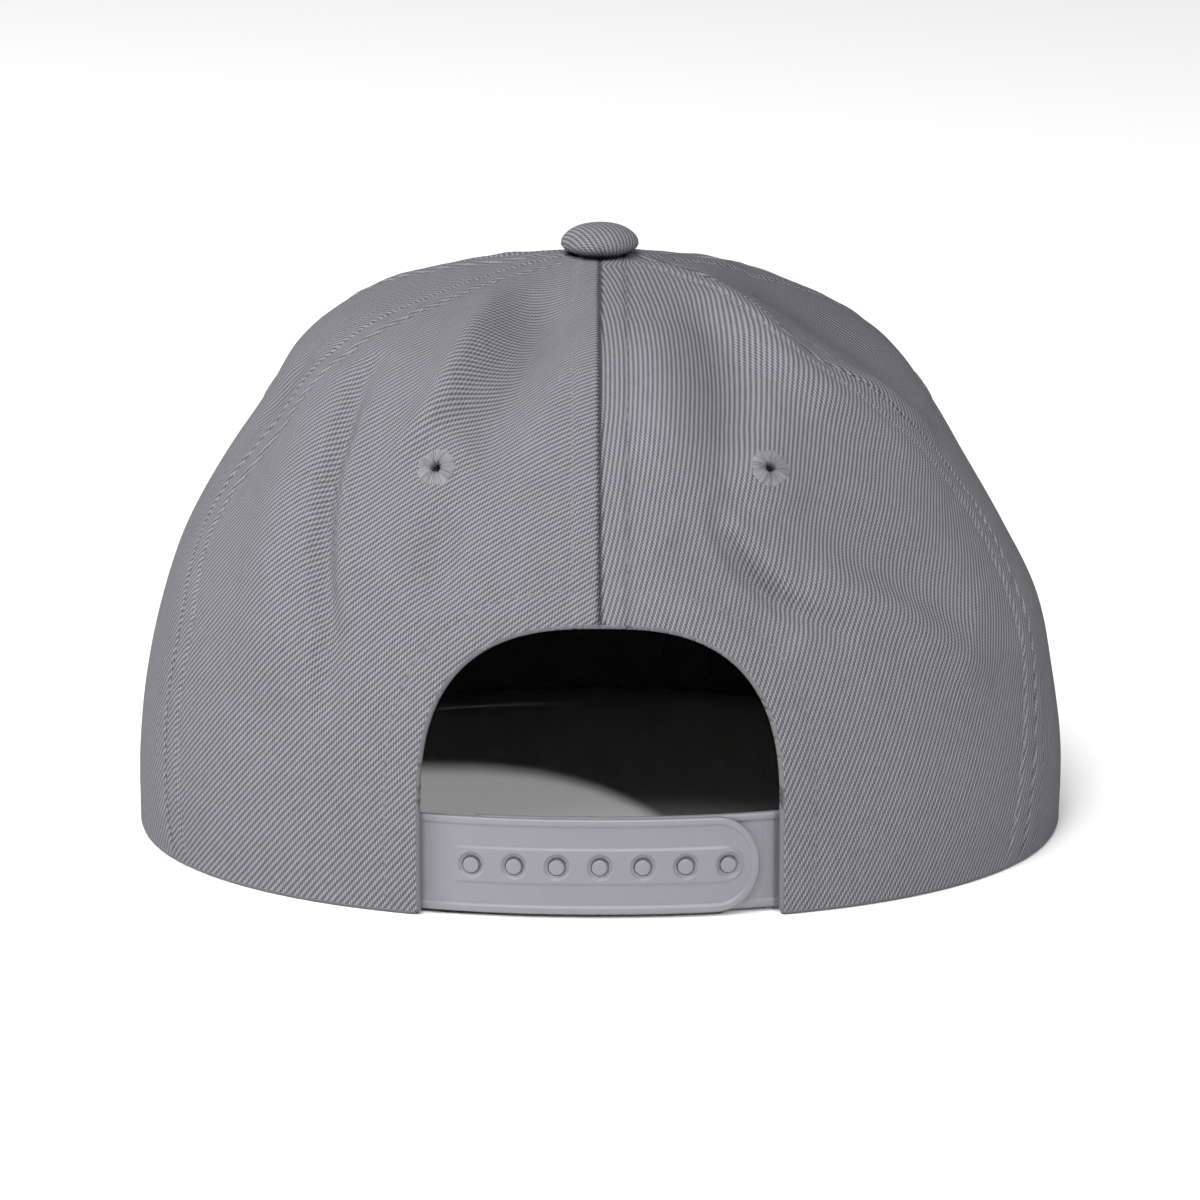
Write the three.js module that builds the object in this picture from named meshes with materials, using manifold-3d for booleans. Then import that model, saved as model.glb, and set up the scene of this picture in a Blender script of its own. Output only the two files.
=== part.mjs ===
// A six-panel snapback cap with a flat visor and a pegged plastic strap.
// Millimetres, +Z up, the visor points to -Y and the back opening to +Y.
// Angles around the crown are degrees from the back (+Y) towards the wearer's left (+X).
// Heights on the crown are a share t, 0 at the rim and 1 at the button.
import * as THREE from 'three';
import { mergeVertices } from 'three/addons/utils/BufferGeometryUtils.js';
import Module from 'manifold-3d';

const wasm = await Module();
wasm.setup();

// Driving sizes
const CROWN_HEIGHT = 119.2;
const HALF_WIDTH = 98;
const BACK_DEPTH = 80;
const FRONT_DEPTH = 84;
const CROWN_LEAN = 15;
const ROUNDNESS = 2.15;
const WALL = 1.6;
const GAP = 0.3;
const RIM_LIFT = 4;
const TOP_HOLE_T = 0.98;

const VISOR_REACH = 68;
const VISOR_HALF_WIDTH = 92;
const VISOR_THICKNESS = 3.6;
const VISOR_SQUARENESS = 2.5;
const VISOR_EAR = 6;

const ARCH_HALF_WIDTH = 36.5;
const ARCH_HEIGHT = 60.1;
const ARCH_SPRING = 22;
const ARCH_SQUARENESS = 2.65;

const BUTTON_RADIUS = 8.2;
const BUTTON_HEIGHT = 5.6;

const EYELET_RADIUS = 4.2;
const EYELET_HOLE = 1;
const EYELET_BARREL = 1.9;
const EYELET_RISE = 0.3;
const EYELET_CALM = 9;

const BAND_HEIGHT = 31;
const BAND_THICKNESS = 1.5;

const STRAP_HEIGHT = 20;
const STRAP_FOOT = 2;
const STRAP_BASE = 0.9;
const STRAP_RIM = 0.3;
const STRAP_RIM_WIDTH = 1.5;
const STRAP_TUCK = 11;
const STRAP_TIP = 32.5;
const STRAP_NOSE = 9;
const PEG_COUNT = 7;
const PEG_PITCH = 8.7;
const PEG_RADIUS = 1.5;
const HOLE_RADIUS = 1.85;
const SINK_RADIUS = 2.5;
const RIDGE_HALF_LENGTH = 29.5;
const RIDGE_HALF_HEIGHT = 3.7;

const FOLD_RISE = 2;
const FOLD_WIDTH = 8;

// Crown sections from the rim to the button, each column a share of its driving size
const SECTIONS = [
  { t: 0.00, up: 0.000, left: 0.998, right: 0.997, back: 0.985, front: 1.000, lean: 0.00 },
  { t: 0.10, up: 0.135, left: 0.997, right: 0.999, back: 0.985, front: 0.998, lean: 0.00 },
  { t: 0.20, up: 0.268, left: 0.980, right: 0.979, back: 0.981, front: 0.985, lean: 0.03 },
  { t: 0.30, up: 0.397, left: 0.946, right: 0.947, back: 0.965, front: 0.962, lean: 0.08 },
  { t: 0.40, up: 0.520, left: 0.894, right: 0.873, back: 0.938, front: 0.920, lean: 0.17 },
  { t: 0.50, up: 0.634, left: 0.816, right: 0.793, back: 0.893, front: 0.858, lean: 0.29 },
  { t: 0.60, up: 0.742, left: 0.725, right: 0.714, back: 0.830, front: 0.769, lean: 0.46 },
  { t: 0.70, up: 0.838, left: 0.650, right: 0.622, back: 0.738, front: 0.631, lean: 0.67 },
  { t: 0.79, up: 0.910, left: 0.527, right: 0.471, back: 0.613, front: 0.470, lean: 0.83 },
  { t: 0.87, up: 0.955, left: 0.350, right: 0.330, back: 0.451, front: 0.308, lean: 0.94 },
  { t: 0.94, up: 0.985, left: 0.175, right: 0.167, back: 0.250, front: 0.155, lean: 1.00 },
  { t: 1.00, up: 1.000, left: 0.000, right: 0.000, back: 0.000, front: 0.000, lean: 1.00 },
];

// Seams between the back and side panels, degrees at each share t
const SIDE_SEAMS = [
  { t: 0.00, left: 63.0, right: -61.0 },
  { t: 0.13, left: 65.8, right: -65.5 },
  { t: 0.22, left: 67.3, right: -69.2 },
  { t: 0.31, left: 68.2, right: -72.0 },
  { t: 0.41, left: 72.5, right: -75.0 },
  { t: 0.48, left: 74.5, right: -74.5 },
  { t: 0.56, left: 72.0, right: -69.5 },
  { t: 0.64, left: 68.0, right: -60.5 },
  { t: 0.72, left: 65.5, right: -53.0 },
  { t: 0.80, left: 64.5, right: -52.5 },
  { t: 0.87, left: 67.0, right: -60.0 },
  { t: 0.93, left: 73.0, right: -73.0 },
  { t: 1.00, left: 84.0, right: -84.0 },
];
const FRONT_SEAM = 120;
// Height gained per t near the rim, a share of the crown's height
const RIM_RATE = SECTIONS[2].up / SECTIONS[2].t;

// Folds and dents: rise is a share of FOLD_RISE, spread a share of FOLD_WIDTH,
// path points are [degrees, t]
const FOLDS = [
  { rise: -0.90, spread: 0.80, path: [[53, 0.76], [52, 0.71], [49.5, 0.63], [48, 0.57], [45, 0.51], [42, 0.45], [38, 0.36], [36, 0.24]] },
  { rise: 0.80, spread: 1.10, path: [[60, 0.74], [58, 0.64], [55, 0.55], [51, 0.45], [46, 0.33], [44, 0.24]] },
  { rise: 0.40, spread: 0.80, path: [[47, 0.7], [45, 0.63], [43.5, 0.57], [40.5, 0.51], [37.5, 0.45], [34, 0.36]] },
  { rise: 0.90, spread: 0.80, path: [[60, 0.955], [44, 0.89], [31.5, 0.79], [29.5, 0.71], [30.5, 0.64], [31, 0.59]] },
  { rise: -1.30, spread: 0.80, path: [[47, 0.96], [30, 0.92], [21.5, 0.83], [20.5, 0.75], [20.8, 0.67], [21, 0.59]] },
  { rise: -0.45, spread: 0.80, path: [[26, 0.57], [23, 0.47], [22, 0.4]] },
  { rise: -1.00, spread: 1.00, path: [[-53, 0.89], [-31, 0.78], [-22.5, 0.68], [-21, 0.58], [-19, 0.52]] },
  { rise: 0.70, spread: 0.80, path: [[-20, 0.86], [-13, 0.77], [-11.5, 0.68], [-11, 0.57]] },
  { rise: 1.00, spread: 0.80, path: [[-15, 0.56], [-19, 0.525], [-22.5, 0.49], [-27, 0.444], [-29.5, 0.4], [-34, 0.34]] },
  { rise: 0.80, spread: 0.80, path: [[-31, 0.45], [-37.5, 0.415], [-43.5, 0.37], [-49.5, 0.32], [-57, 0.25]] },
  { rise: -1.10, spread: 1.20, path: [[-24, 0.57], [-36.5, 0.515], [-42, 0.47], [-49, 0.42], [-57, 0.34]] },
  { rise: -0.80, spread: 0.80, path: [[-10, 0.51], [-17, 0.455], [-22, 0.416], [-26, 0.35]] },
  { rise: 0.90, spread: 0.80, path: [[-62, 0.92], [-48, 0.85], [-43, 0.79], [-42, 0.74], [-45, 0.69], [-53, 0.63], [-65, 0.5]] },
  { rise: -1.60, spread: 1.50, path: [[-84, 0.9], [-78, 0.84], [-73, 0.765], [-73, 0.7], [-77, 0.62]] },
  { rise: 0.80, spread: 0.80, path: [[-53, 0.73], [-58, 0.69], [-65, 0.64], [-74, 0.57]] },
  { rise: -0.80, spread: 0.80, path: [[73, 0.72], [76, 0.66], [80, 0.61], [83, 0.53]] },
];

// Eyelets: degrees and t on the crown
const EYELETS = [
  { name: 'eyelet_back_left', phi: 27.5, t: 0.602 },
  { name: 'eyelet_back_right', phi: -29.1, t: 0.6 },
  { name: 'eyelet_side_left', phi: 103, t: 0.6 },
  { name: 'eyelet_side_right', phi: -103, t: 0.6 },
  { name: 'eyelet_front_left', phi: 150, t: 0.62 },
  { name: 'eyelet_front_right', phi: -150, t: 0.62 },
];

const cloth = { color: 0x8b8b91, roughness: 0.95, metalness: 0 };
const plastic = { color: 0x96959c, roughness: 0.55, metalness: 0 };
const lining = { color: 0x1c1c1e, roughness: 0.95, metalness: 0 };

const radians = THREE.MathUtils.degToRad;
const { clamp, lerp, smoothstep } = THREE.MathUtils;

// Smooth curve through one column of a table
function along(table, column, t) {
  const last = table.length - 1;
  let k = 0;
  while (k < last - 1 && t > table[k + 1].t) k += 1;
  const slope = (i) => {
    const a = Math.max(i - 1, 0);
    const b = Math.min(i + 1, last);
    return (table[b][column] - table[a][column]) / (table[b].t - table[a].t);
  };
  const span = table[k + 1].t - table[k].t;
  const u = (t - table[k].t) / span;
  const start = table[k][column] * (1 + 2 * u) * (1 - u) ** 2 + slope(k) * span * u * (1 - u) ** 2;
  const end = table[k + 1][column] * u * u * (3 - 2 * u) - slope(k + 1) * span * u * u * (1 - u);
  return start + end;
}

// Smooth crown before any fold
function crownBase(phi, t) {
  const s = Math.sin(radians(phi));
  const c = Math.cos(radians(phi));
  const reach = (Math.abs(s) ** ROUNDNESS + Math.abs(c) ** ROUNDNESS) ** (-1 / ROUNDNESS);
  const across = HALF_WIDTH * along(SECTIONS, s > 0 ? 'left' : 'right', t);
  const deep = c > 0 ? BACK_DEPTH * along(SECTIONS, 'back', t) : FRONT_DEPTH * along(SECTIONS, 'front', t);
  const lean = CROWN_LEAN * along(SECTIONS, 'lean', t);
  return new THREE.Vector3(across * reach * s, deep * reach * c - lean, CROWN_HEIGHT * along(SECTIONS, 'up', t));
}

// The rim lifts over the visor, most at the middle of the front
function rimLift(phi) {
  const front = clamp((Math.abs(phi) - FRONT_SEAM) / (180 - FRONT_SEAM), 0, 1);
  return RIM_LIFT * Math.sin(front * Math.PI / 2) ** 2;
}

function crownNormal(phi, t) {
  const step = 0.002;
  const top = Math.min(t, 1 - 2 * step);
  const aside = crownBase(phi + 0.2, top).sub(crownBase(phi - 0.2, top));
  const upward = crownBase(phi, top + step).sub(crownBase(phi, Math.max(top - step, 0)));
  return upward.cross(aside).normalize();
}

const foldPaths = FOLDS.map((fold) => ({
  rise: fold.rise * FOLD_RISE,
  spread: fold.spread * FOLD_WIDTH,
  points: fold.path.map(([phi, t]) => crownBase(phi, t)),
}));
const eyeletCentres = EYELETS.map(({ phi, t }) => crownBase(phi, t));

// How far folds push the cloth out at a point of the smooth crown
function foldRise(point) {
  let total = 0;
  for (const { rise, spread, points } of foldPaths) {
    let best = Infinity;
    let place = 0;
    for (let k = 0; k + 1 < points.length; k += 1) {
      const leg = points[k + 1].clone().sub(points[k]);
      const share = clamp(point.clone().sub(points[k]).dot(leg) / leg.lengthSq(), 0, 1);
      const distance = leg.multiplyScalar(share).add(points[k]).distanceTo(point);
      if (distance < best) {
        best = distance;
        place = (k + share) / (points.length - 1);
      }
    }
    total += rise * Math.sin(Math.PI * place) ** 0.7 * Math.exp(-((best / spread) ** 2));
  }
  for (const centre of eyeletCentres) {
    total *= 1 - Math.exp(-((centre.distanceTo(point) / EYELET_CALM) ** 4));
  }
  return total;
}

// Point of the crown, moved inward by depth from its outer face
function crownPoint(phi, t, depth) {
  const base = crownBase(phi, t);
  const normal = crownNormal(phi, t);
  const calm = smoothstep(t, 0.12, 0.3);
  const point = base.clone().addScaledVector(normal, foldRise(base) * calm - depth);
  if (t === 0) point.z = 0;
  point.z += rimLift(phi) * (1 - smoothstep(t, 0, 0.3));
  return point;
}

function volumeOf(positions, faces) {
  let volume = 0;
  for (const [a, b, c] of faces) {
    volume += positions[a].dot(positions[b].clone().cross(positions[c])) / 6;
  }
  return volume;
}

function geometryOf(positions, faces) {
  const outward = volumeOf(positions, faces) > 0 ? faces : faces.map(([a, b, c]) => [a, c, b]);
  const geometry = new THREE.BufferGeometry();
  geometry.setAttribute('position', new THREE.Float32BufferAttribute(positions.flatMap((p) => p.toArray()), 3));
  geometry.setIndex(outward.flat());
  return geometry;
}

// Closed sheet between two grids of points: at(i, j, face) with face 0 outer and 1 inner
function sheetGeometry(columns, rows, at) {
  const positions = [];
  const faces = [];
  for (const face of [0, 1]) {
    for (let i = 0; i <= columns; i += 1) {
      for (let j = 0; j <= rows; j += 1) positions.push(at(i, j, face));
    }
  }
  const index = (i, j, face) => (face * (columns + 1) + i) * (rows + 1) + j;
  const quad = (a, b, c, d) => faces.push([a, b, c], [a, c, d]);
  for (let i = 0; i < columns; i += 1) {
    for (let j = 0; j < rows; j += 1) {
      quad(index(i, j, 0), index(i + 1, j, 0), index(i + 1, j + 1, 0), index(i, j + 1, 0));
      quad(index(i, j, 1), index(i, j + 1, 1), index(i + 1, j + 1, 1), index(i + 1, j, 1));
    }
    quad(index(i, 0, 0), index(i, 0, 1), index(i + 1, 0, 1), index(i + 1, 0, 0));
    quad(index(i, rows, 0), index(i + 1, rows, 0), index(i + 1, rows, 1), index(i, rows, 1));
  }
  for (let j = 0; j < rows; j += 1) {
    quad(index(0, j, 0), index(0, j + 1, 0), index(0, j + 1, 1), index(0, j, 1));
    quad(index(columns, j, 0), index(columns, j, 1), index(columns, j + 1, 1), index(columns, j + 1, 0));
  }
  return geometryOf(positions, faces);
}

function solidOf(geometry) {
  const bare = new THREE.BufferGeometry();
  bare.setAttribute('position', geometry.getAttribute('position'));
  if (geometry.index) bare.setIndex(geometry.index);
  const merged = mergeVertices(bare, 1e-4);
  return new wasm.Manifold(new wasm.Mesh({
    numProp: 3,
    vertProperties: Float32Array.from(merged.getAttribute('position').array),
    triVerts: Uint32Array.from(merged.index.array),
  }));
}

function geometryFrom(solid) {
  const mesh = solid.getMesh();
  const geometry = new THREE.BufferGeometry();
  geometry.setAttribute('position', new THREE.Float32BufferAttribute(mesh.vertProperties, 3));
  geometry.setIndex(Array.from(mesh.triVerts));
  return geometry;
}

const group = new THREE.Group();
group.name = 'snapback_cap';

function place(name, geometry, look) {
  geometry.computeVertexNormals();
  const mesh = new THREE.Mesh(geometry, new THREE.MeshStandardMaterial(look));
  mesh.name = name;
  group.add(mesh);
}

// A turned piece standing on the crown, its profile [radius, height] along the outward normal
function turned(profile, segments, phi, t) {
  const geometry = new THREE.LatheGeometry(profile.map(([r, h]) => new THREE.Vector2(r, h)), segments);
  const turn = new THREE.Quaternion().setFromUnitVectors(new THREE.Vector3(0, 1, 0), crownNormal(phi, t));
  geometry.applyQuaternion(turn);
  const seat = crownBase(phi, t);
  geometry.translate(seat.x, seat.y, seat.z);
  return geometry;
}

// Back opening as a prism along Y
function archCutter() {
  const steps = 28;
  const outline = [new THREE.Vector2(-ARCH_HALF_WIDTH, -ARCH_SPRING)];
  for (let k = 0; k <= steps; k += 1) {
    const angle = Math.PI * (1 - k / steps);
    const x = Math.sign(Math.cos(angle)) * Math.abs(Math.cos(angle)) ** (2 / ARCH_SQUARENESS);
    const z = Math.abs(Math.sin(angle)) ** (2 / ARCH_SQUARENESS);
    outline.push(new THREE.Vector2(ARCH_HALF_WIDTH * x, ARCH_SPRING + (ARCH_HEIGHT - ARCH_SPRING) * z));
  }
  outline.push(new THREE.Vector2(ARCH_HALF_WIDTH, -ARCH_SPRING));
  const geometry = new THREE.ExtrudeGeometry(new THREE.Shape(outline), { depth: BACK_DEPTH, bevelEnabled: false });
  geometry.rotateX(Math.PI / 2);
  geometry.translate(0, BACK_DEPTH * 1.3, 0);
  return solidOf(geometry);
}

// Crown panels
const sideSeam = (side) => (t) => along(SIDE_SEAMS, side, t);
const fixedSeam = (phi) => () => phi;
const PANEL_ROWS = 16;
const PANELS = [
  { name: 'panel_back_left', from: fixedSeam(0), to: sideSeam('left'), columns: 19 },
  { name: 'panel_back_right', from: sideSeam('right'), to: fixedSeam(0), columns: 19 },
  { name: 'panel_side_left', from: sideSeam('left'), to: fixedSeam(FRONT_SEAM), columns: 11 },
  { name: 'panel_side_right', from: fixedSeam(-FRONT_SEAM), to: sideSeam('right'), columns: 11 },
  { name: 'panel_front_left', from: fixedSeam(FRONT_SEAM), to: fixedSeam(180), columns: 11 },
  { name: 'panel_front_right', from: fixedSeam(-180), to: fixedSeam(-FRONT_SEAM), columns: 11 },
];
const arch = archCutter();
const eyeletHoles = EYELETS.map(({ phi, t }) => {
  const radius = EYELET_BARREL + GAP;
  return solidOf(turned([[0, -3 * WALL], [radius, -3 * WALL], [radius, 3 * WALL], [0, 3 * WALL]], 16, phi, t));
});

function panelGeometry({ from, to, columns }) {
  return sheetGeometry(columns, PANEL_ROWS, (i, j, face) => {
    const t = TOP_HOLE_T * j / PANEL_ROWS;
    const inset = GAP / 2 / (crownBase(from(t), t).setZ(0).length() * radians(1));
    const phi = lerp(from(t) + inset, to(t) - inset, i / columns);
    return crownPoint(phi, t, face * WALL);
  });
}

for (const panel of PANELS) {
  let solid = solidOf(panelGeometry(panel)).subtract(arch);
  for (const hole of eyeletHoles) solid = solid.subtract(hole);
  place(panel.name, geometryFrom(solid), cloth);
}

// Stitched eyelets, each a collar through the cloth with a flange on top
for (const { name, phi, t } of EYELETS) {
  const top = GAP + EYELET_RISE;
  const profile = [
    [EYELET_HOLE, -WALL],
    [EYELET_BARREL, -WALL],
    [EYELET_BARREL, GAP],
    [EYELET_RADIUS, GAP],
    [EYELET_RADIUS * 0.75, top],
    [EYELET_HOLE * 1.7, top],
    [EYELET_HOLE, GAP],
    [EYELET_HOLE, -WALL],
  ];
  place(name, turned(profile, 16, phi, t), cloth);
}

// Covered button: a stem through the top hole and a low dome over it
const topHoleRadius = Math.min(...[0, 90, -90, 180].map((phi) => {
  const { x, y } = crownBase(phi, TOP_HOLE_T);
  return Math.hypot(x, y + CROWN_LEAN);
}));
const buttonSeat = CROWN_HEIGHT + GAP;
const stemRadius = topHoleRadius * 0.9 - GAP;
const domeSteps = 5;
const buttonProfile = [[0, buttonSeat - 2 * WALL], [stemRadius, buttonSeat - 2 * WALL], [stemRadius, buttonSeat]];
buttonProfile.push([BUTTON_RADIUS * 0.9, buttonSeat]);
for (let k = 0; k < domeSteps; k += 1) {
  const angle = Math.PI / 2 * k / domeSteps;
  const lower = BUTTON_HEIGHT * 0.3;
  buttonProfile.push([
    BUTTON_RADIUS * Math.cos(angle) ** 0.8,
    buttonSeat + lower + (BUTTON_HEIGHT - lower) * Math.sin(angle),
  ]);
}
buttonProfile.push([0, buttonSeat + BUTTON_HEIGHT]);
const button = new THREE.LatheGeometry(buttonProfile.map(([r, z]) => new THREE.Vector2(r, z)), 24);
button.rotateX(Math.PI / 2);
button.translate(0, -CROWN_LEAN, 0);
place('button', button, cloth);

// Visor: a plate from the front rim to a squarish outer edge, rising with the rim
const VISOR_COLUMNS = 28;
const VISOR_ROWS = 5;
const visorSpan = 180 - FRONT_SEAM;
const visorBack = crownBase(FRONT_SEAM, 0).y - VISOR_EAR;
function visorOutline(share) {
  const angle = share * Math.PI / 2;
  const power = 2 / VISOR_SQUARENESS;
  const x = -Math.sign(angle) * VISOR_HALF_WIDTH * Math.abs(Math.sin(angle)) ** power;
  const depth = FRONT_DEPTH + VISOR_REACH + visorBack;
  return new THREE.Vector3(x, visorBack - depth * Math.cos(angle) ** power, 0);
}
place('visor', sheetGeometry(VISOR_COLUMNS, VISOR_ROWS, (i, j, face) => {
  const share = 2 * i / VISOR_COLUMNS - 1;
  const phi = 180 + share * visorSpan;
  const root = crownBase(phi, 0).addScaledVector(crownNormal(phi, 0).setZ(0).normalize(), GAP);
  root.z = 0;
  const edge = visorOutline(share);
  const reach = j / VISOR_ROWS;
  const point = root.lerp(edge, reach);
  const lift = RIM_LIFT * (1 - (point.x / VISOR_HALF_WIDTH) ** 2);
  const thin = j === VISOR_ROWS ? 0.25 : 0;
  point.z = Math.max(lift, 0) + VISOR_THICKNESS * (face === 0 ? 1 - thin : thin);
  return point;
}), cloth);

// Distance inward at which the sweatband hangs: deeper behind the strap ends
const strapOuter = WALL + GAP;
const strapInner = strapOuter + STRAP_BASE + STRAP_RIM;
const underOuter = strapInner + GAP;
const underInner = underOuter + STRAP_BASE + STRAP_RIM;
const backAngle = (x) => THREE.MathUtils.radToDeg(Math.atan2(x / HALF_WIDTH, Math.sqrt(1 - (x / HALF_WIDTH) ** 2)));
const bandStart = backAngle(ARCH_HALF_WIDTH + 2);
const tuckEnd = backAngle(ARCH_HALF_WIDTH + STRAP_TUCK);
function bandDepth(phi) {
  const fromBack = Math.min(Math.abs(phi), 360 - Math.abs(phi));
  return lerp(underInner + GAP, strapOuter, smoothstep(fromBack, tuckEnd + 3, tuckEnd + 18));
}
const BAND_COLUMNS = 44;
const BAND_ROWS = 2;
place('sweatband', sheetGeometry(BAND_COLUMNS, BAND_ROWS, (i, j, face) => {
  const phi = lerp(bandStart, 360 - bandStart, i / BAND_COLUMNS);
  const turn = phi > 180 ? phi - 360 : phi;
  const foot = 0.01;
  const t = lerp(foot, BAND_HEIGHT / CROWN_HEIGHT / RIM_RATE, j / BAND_ROWS);
  return crownPoint(turn, t, bandDepth(phi) + face * BAND_THICKNESS);
}), lining);

// Strap parts are drawn flat in x, height and distance outward, then bent along the back of the rim
function bentAlongBack(solid) {
  const mesh = solid.getMesh();
  const flat = new THREE.Float32BufferAttribute(mesh.vertProperties, 3);
  const positions = Array.from({ length: flat.count }, (_, k) => {
    const { x, y: z, z: out } = new THREE.Vector3().fromBufferAttribute(flat, k);
    const t = z / CROWN_HEIGHT / RIM_RATE;
    const across = HALF_WIDTH * along(SECTIONS, 'left', t);
    const deep = BACK_DEPTH * along(SECTIONS, 'back', t);
    const y = deep * (1 - Math.abs(x / across) ** ROUNDNESS) ** (1 / ROUNDNESS);
    const slope = new THREE.Vector2(
      Math.sign(x) * Math.abs(x / across) ** (ROUNDNESS - 1) / across,
      (y / deep) ** (ROUNDNESS - 1) / deep,
    ).normalize();
    const lean = CROWN_LEAN * along(SECTIONS, 'lean', t);
    return new THREE.Vector3(x + slope.x * out, y + slope.y * out - lean, z);
  });
  const faces = Array.from({ length: mesh.triVerts.length / 3 }, (_, k) => [...mesh.triVerts.slice(3 * k, 3 * k + 3)]);
  return geometryOf(positions, faces);
}

// Flat plate with its outline in x and height, between two depths behind the crown's outer face
function plate(shape, outer, inner) {
  const geometry = new THREE.ExtrudeGeometry(shape, { depth: inner - outer, bevelEnabled: false, curveSegments: 6 });
  geometry.translate(0, 0, -inner);
  return solidOf(geometry);
}

function rod(x, z, radius, outer, inner) {
  const shape = new THREE.Shape();
  shape.absarc(x, z, radius, 0, 2 * Math.PI);
  return plate(shape, outer, inner);
}

function box(left, right, low, high, outer, inner) {
  const corners = [[left, low], [right, low], [right, high], [left, high]];
  return plate(new THREE.Shape(corners.map(([x, z]) => new THREE.Vector2(x, z))), outer, inner);
}

// Tongue from a square tucked end to a round tip, smaller all round by inset
function tongue(tail, tip, inset) {
  const half = STRAP_HEIGHT / 2 - inset;
  const middle = STRAP_FOOT + STRAP_HEIGHT / 2;
  const side = Math.sign(tail - tip);
  const shape = new THREE.Shape([new THREE.Vector2(tail, middle - half)]);
  const steps = 10;
  for (let k = 0; k <= steps; k += 1) {
    const angle = Math.PI * (k / steps - 0.5);
    const x = tip + side * (STRAP_NOSE - (STRAP_NOSE - inset) * Math.cos(angle));
    shape.lineTo(x, middle + half * Math.sin(angle));
  }
  shape.lineTo(tail, middle + half);
  return shape;
}

const strapEnd = ARCH_HALF_WIDTH + STRAP_TUCK;
const strapMiddle = STRAP_FOOT + STRAP_HEIGHT / 2;
const pegPlaces = Array.from({ length: PEG_COUNT }, (_, k) => (k - (PEG_COUNT - 1) / 2) * PEG_PITCH);
const fieldDepth = strapOuter + STRAP_RIM;
const ridgeLow = strapMiddle - RIDGE_HALF_HEIGHT;
const ridgeHigh = strapMiddle + RIDGE_HALF_HEIGHT;

let overStrap = plate(tongue(strapEnd, -STRAP_TIP, 0), strapOuter, strapInner)
  .subtract(plate(tongue(ARCH_HALF_WIDTH - 1, -STRAP_TIP, STRAP_RIM_WIDTH), strapOuter - 1, fieldDepth))
  .add(box(-RIDGE_HALF_LENGTH, RIDGE_HALF_LENGTH, ridgeLow, ridgeHigh, strapOuter, fieldDepth + STRAP_BASE / 2));
for (const x of pegPlaces) {
  overStrap = overStrap
    .subtract(rod(x, strapMiddle, SINK_RADIUS, strapOuter - 1, fieldDepth))
    .subtract(rod(x, strapMiddle, HOLE_RADIUS, strapOuter - 1, strapInner + 1));
}
const bendStep = 13;
place('strap_left', bentAlongBack(overStrap.refineToLength(bendStep)), plastic);

let underStrap = plate(tongue(-strapEnd, STRAP_TIP, 0), underOuter, underInner);
for (const x of pegPlaces) {
  underStrap = underStrap.add(rod(x, strapMiddle, PEG_RADIUS, strapOuter + STRAP_RIM / 2, underInner - STRAP_RIM));
}
place('strap_right', bentAlongBack(underStrap.refineToLength(bendStep)), plastic);

// The frame's origin is the middle of the bottom of the whole cap
const extent = new THREE.Box3().setFromObject(group, true);
const middle = extent.getCenter(new THREE.Vector3());
for (const mesh of group.children) mesh.geometry.translate(-middle.x, -middle.y, -extent.min.z);

export default group;
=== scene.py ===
# A six-panel snapback cap seen from behind, resting on a white surface.
# Shapes are worked out in millimetres in the crown's own frame: the origin is the middle of
# the head opening, +Z up, +Y the back opening and +X the wearer's left. Angles around the
# crown are degrees from the back towards +X, and t is 0 at the rim and 1 at the button.
import math

import bpy
import numpy as np
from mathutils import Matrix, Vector


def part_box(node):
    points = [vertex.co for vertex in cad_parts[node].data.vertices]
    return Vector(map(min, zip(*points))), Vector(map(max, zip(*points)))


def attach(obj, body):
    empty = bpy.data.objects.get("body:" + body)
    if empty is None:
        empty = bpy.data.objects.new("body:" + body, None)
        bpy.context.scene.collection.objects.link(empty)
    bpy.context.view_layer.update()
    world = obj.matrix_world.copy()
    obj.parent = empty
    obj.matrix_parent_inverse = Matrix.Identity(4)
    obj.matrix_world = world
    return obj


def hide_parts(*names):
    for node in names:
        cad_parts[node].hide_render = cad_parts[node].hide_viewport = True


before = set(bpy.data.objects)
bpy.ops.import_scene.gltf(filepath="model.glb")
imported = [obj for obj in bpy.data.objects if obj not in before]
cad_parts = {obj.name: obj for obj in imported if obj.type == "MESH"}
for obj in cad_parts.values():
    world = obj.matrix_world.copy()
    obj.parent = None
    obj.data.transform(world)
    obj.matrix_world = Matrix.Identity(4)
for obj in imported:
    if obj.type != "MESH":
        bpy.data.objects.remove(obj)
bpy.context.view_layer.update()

# Driving sizes in millimetres: the CAD part's, with small trims at the strap and the pegs
CROWN_HEIGHT = 119.2
HALF_WIDTH = 98.0
BACK_DEPTH = 80.0
FRONT_DEPTH = 84.0
CROWN_LEAN = 15.0
ROUNDNESS = 2.15
WALL = 1.6
RIM_LIFT = 4.0
TOP_HOLE_T = 0.98
FRONT_SEAM = 120.0

VISOR_REACH = 68.0
VISOR_HALF_WIDTH = 92.0
VISOR_THICKNESS = 3.6
VISOR_SQUARENESS = 2.5
VISOR_EAR = 6.0

ARCH_HALF_WIDTH = 36.5
ARCH_HEIGHT = 60.1
ARCH_SPRING = 22.0
ARCH_SQUARENESS = 2.65

BUTTON_RADIUS = 8.2
BUTTON_HEIGHT = 5.6

STRAP_HEIGHT = 20.0
STRAP_FOOT = 1.0
STRAP_TUCK = 11.0
STRAP_TIP = 33.0
STRAP_NOSE = 9.0
STRAP_RIM = 0.4
STRAP_RIM_WIDTH = 1.5
STRAP_THICKNESS = 1.2
STRAP_DEPTH = 1.9
UNDER_DEPTH = 3.4
PEG_COUNT = 7
PEG_PITCH = 8.85
PEG_RADIUS = 1.62
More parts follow.
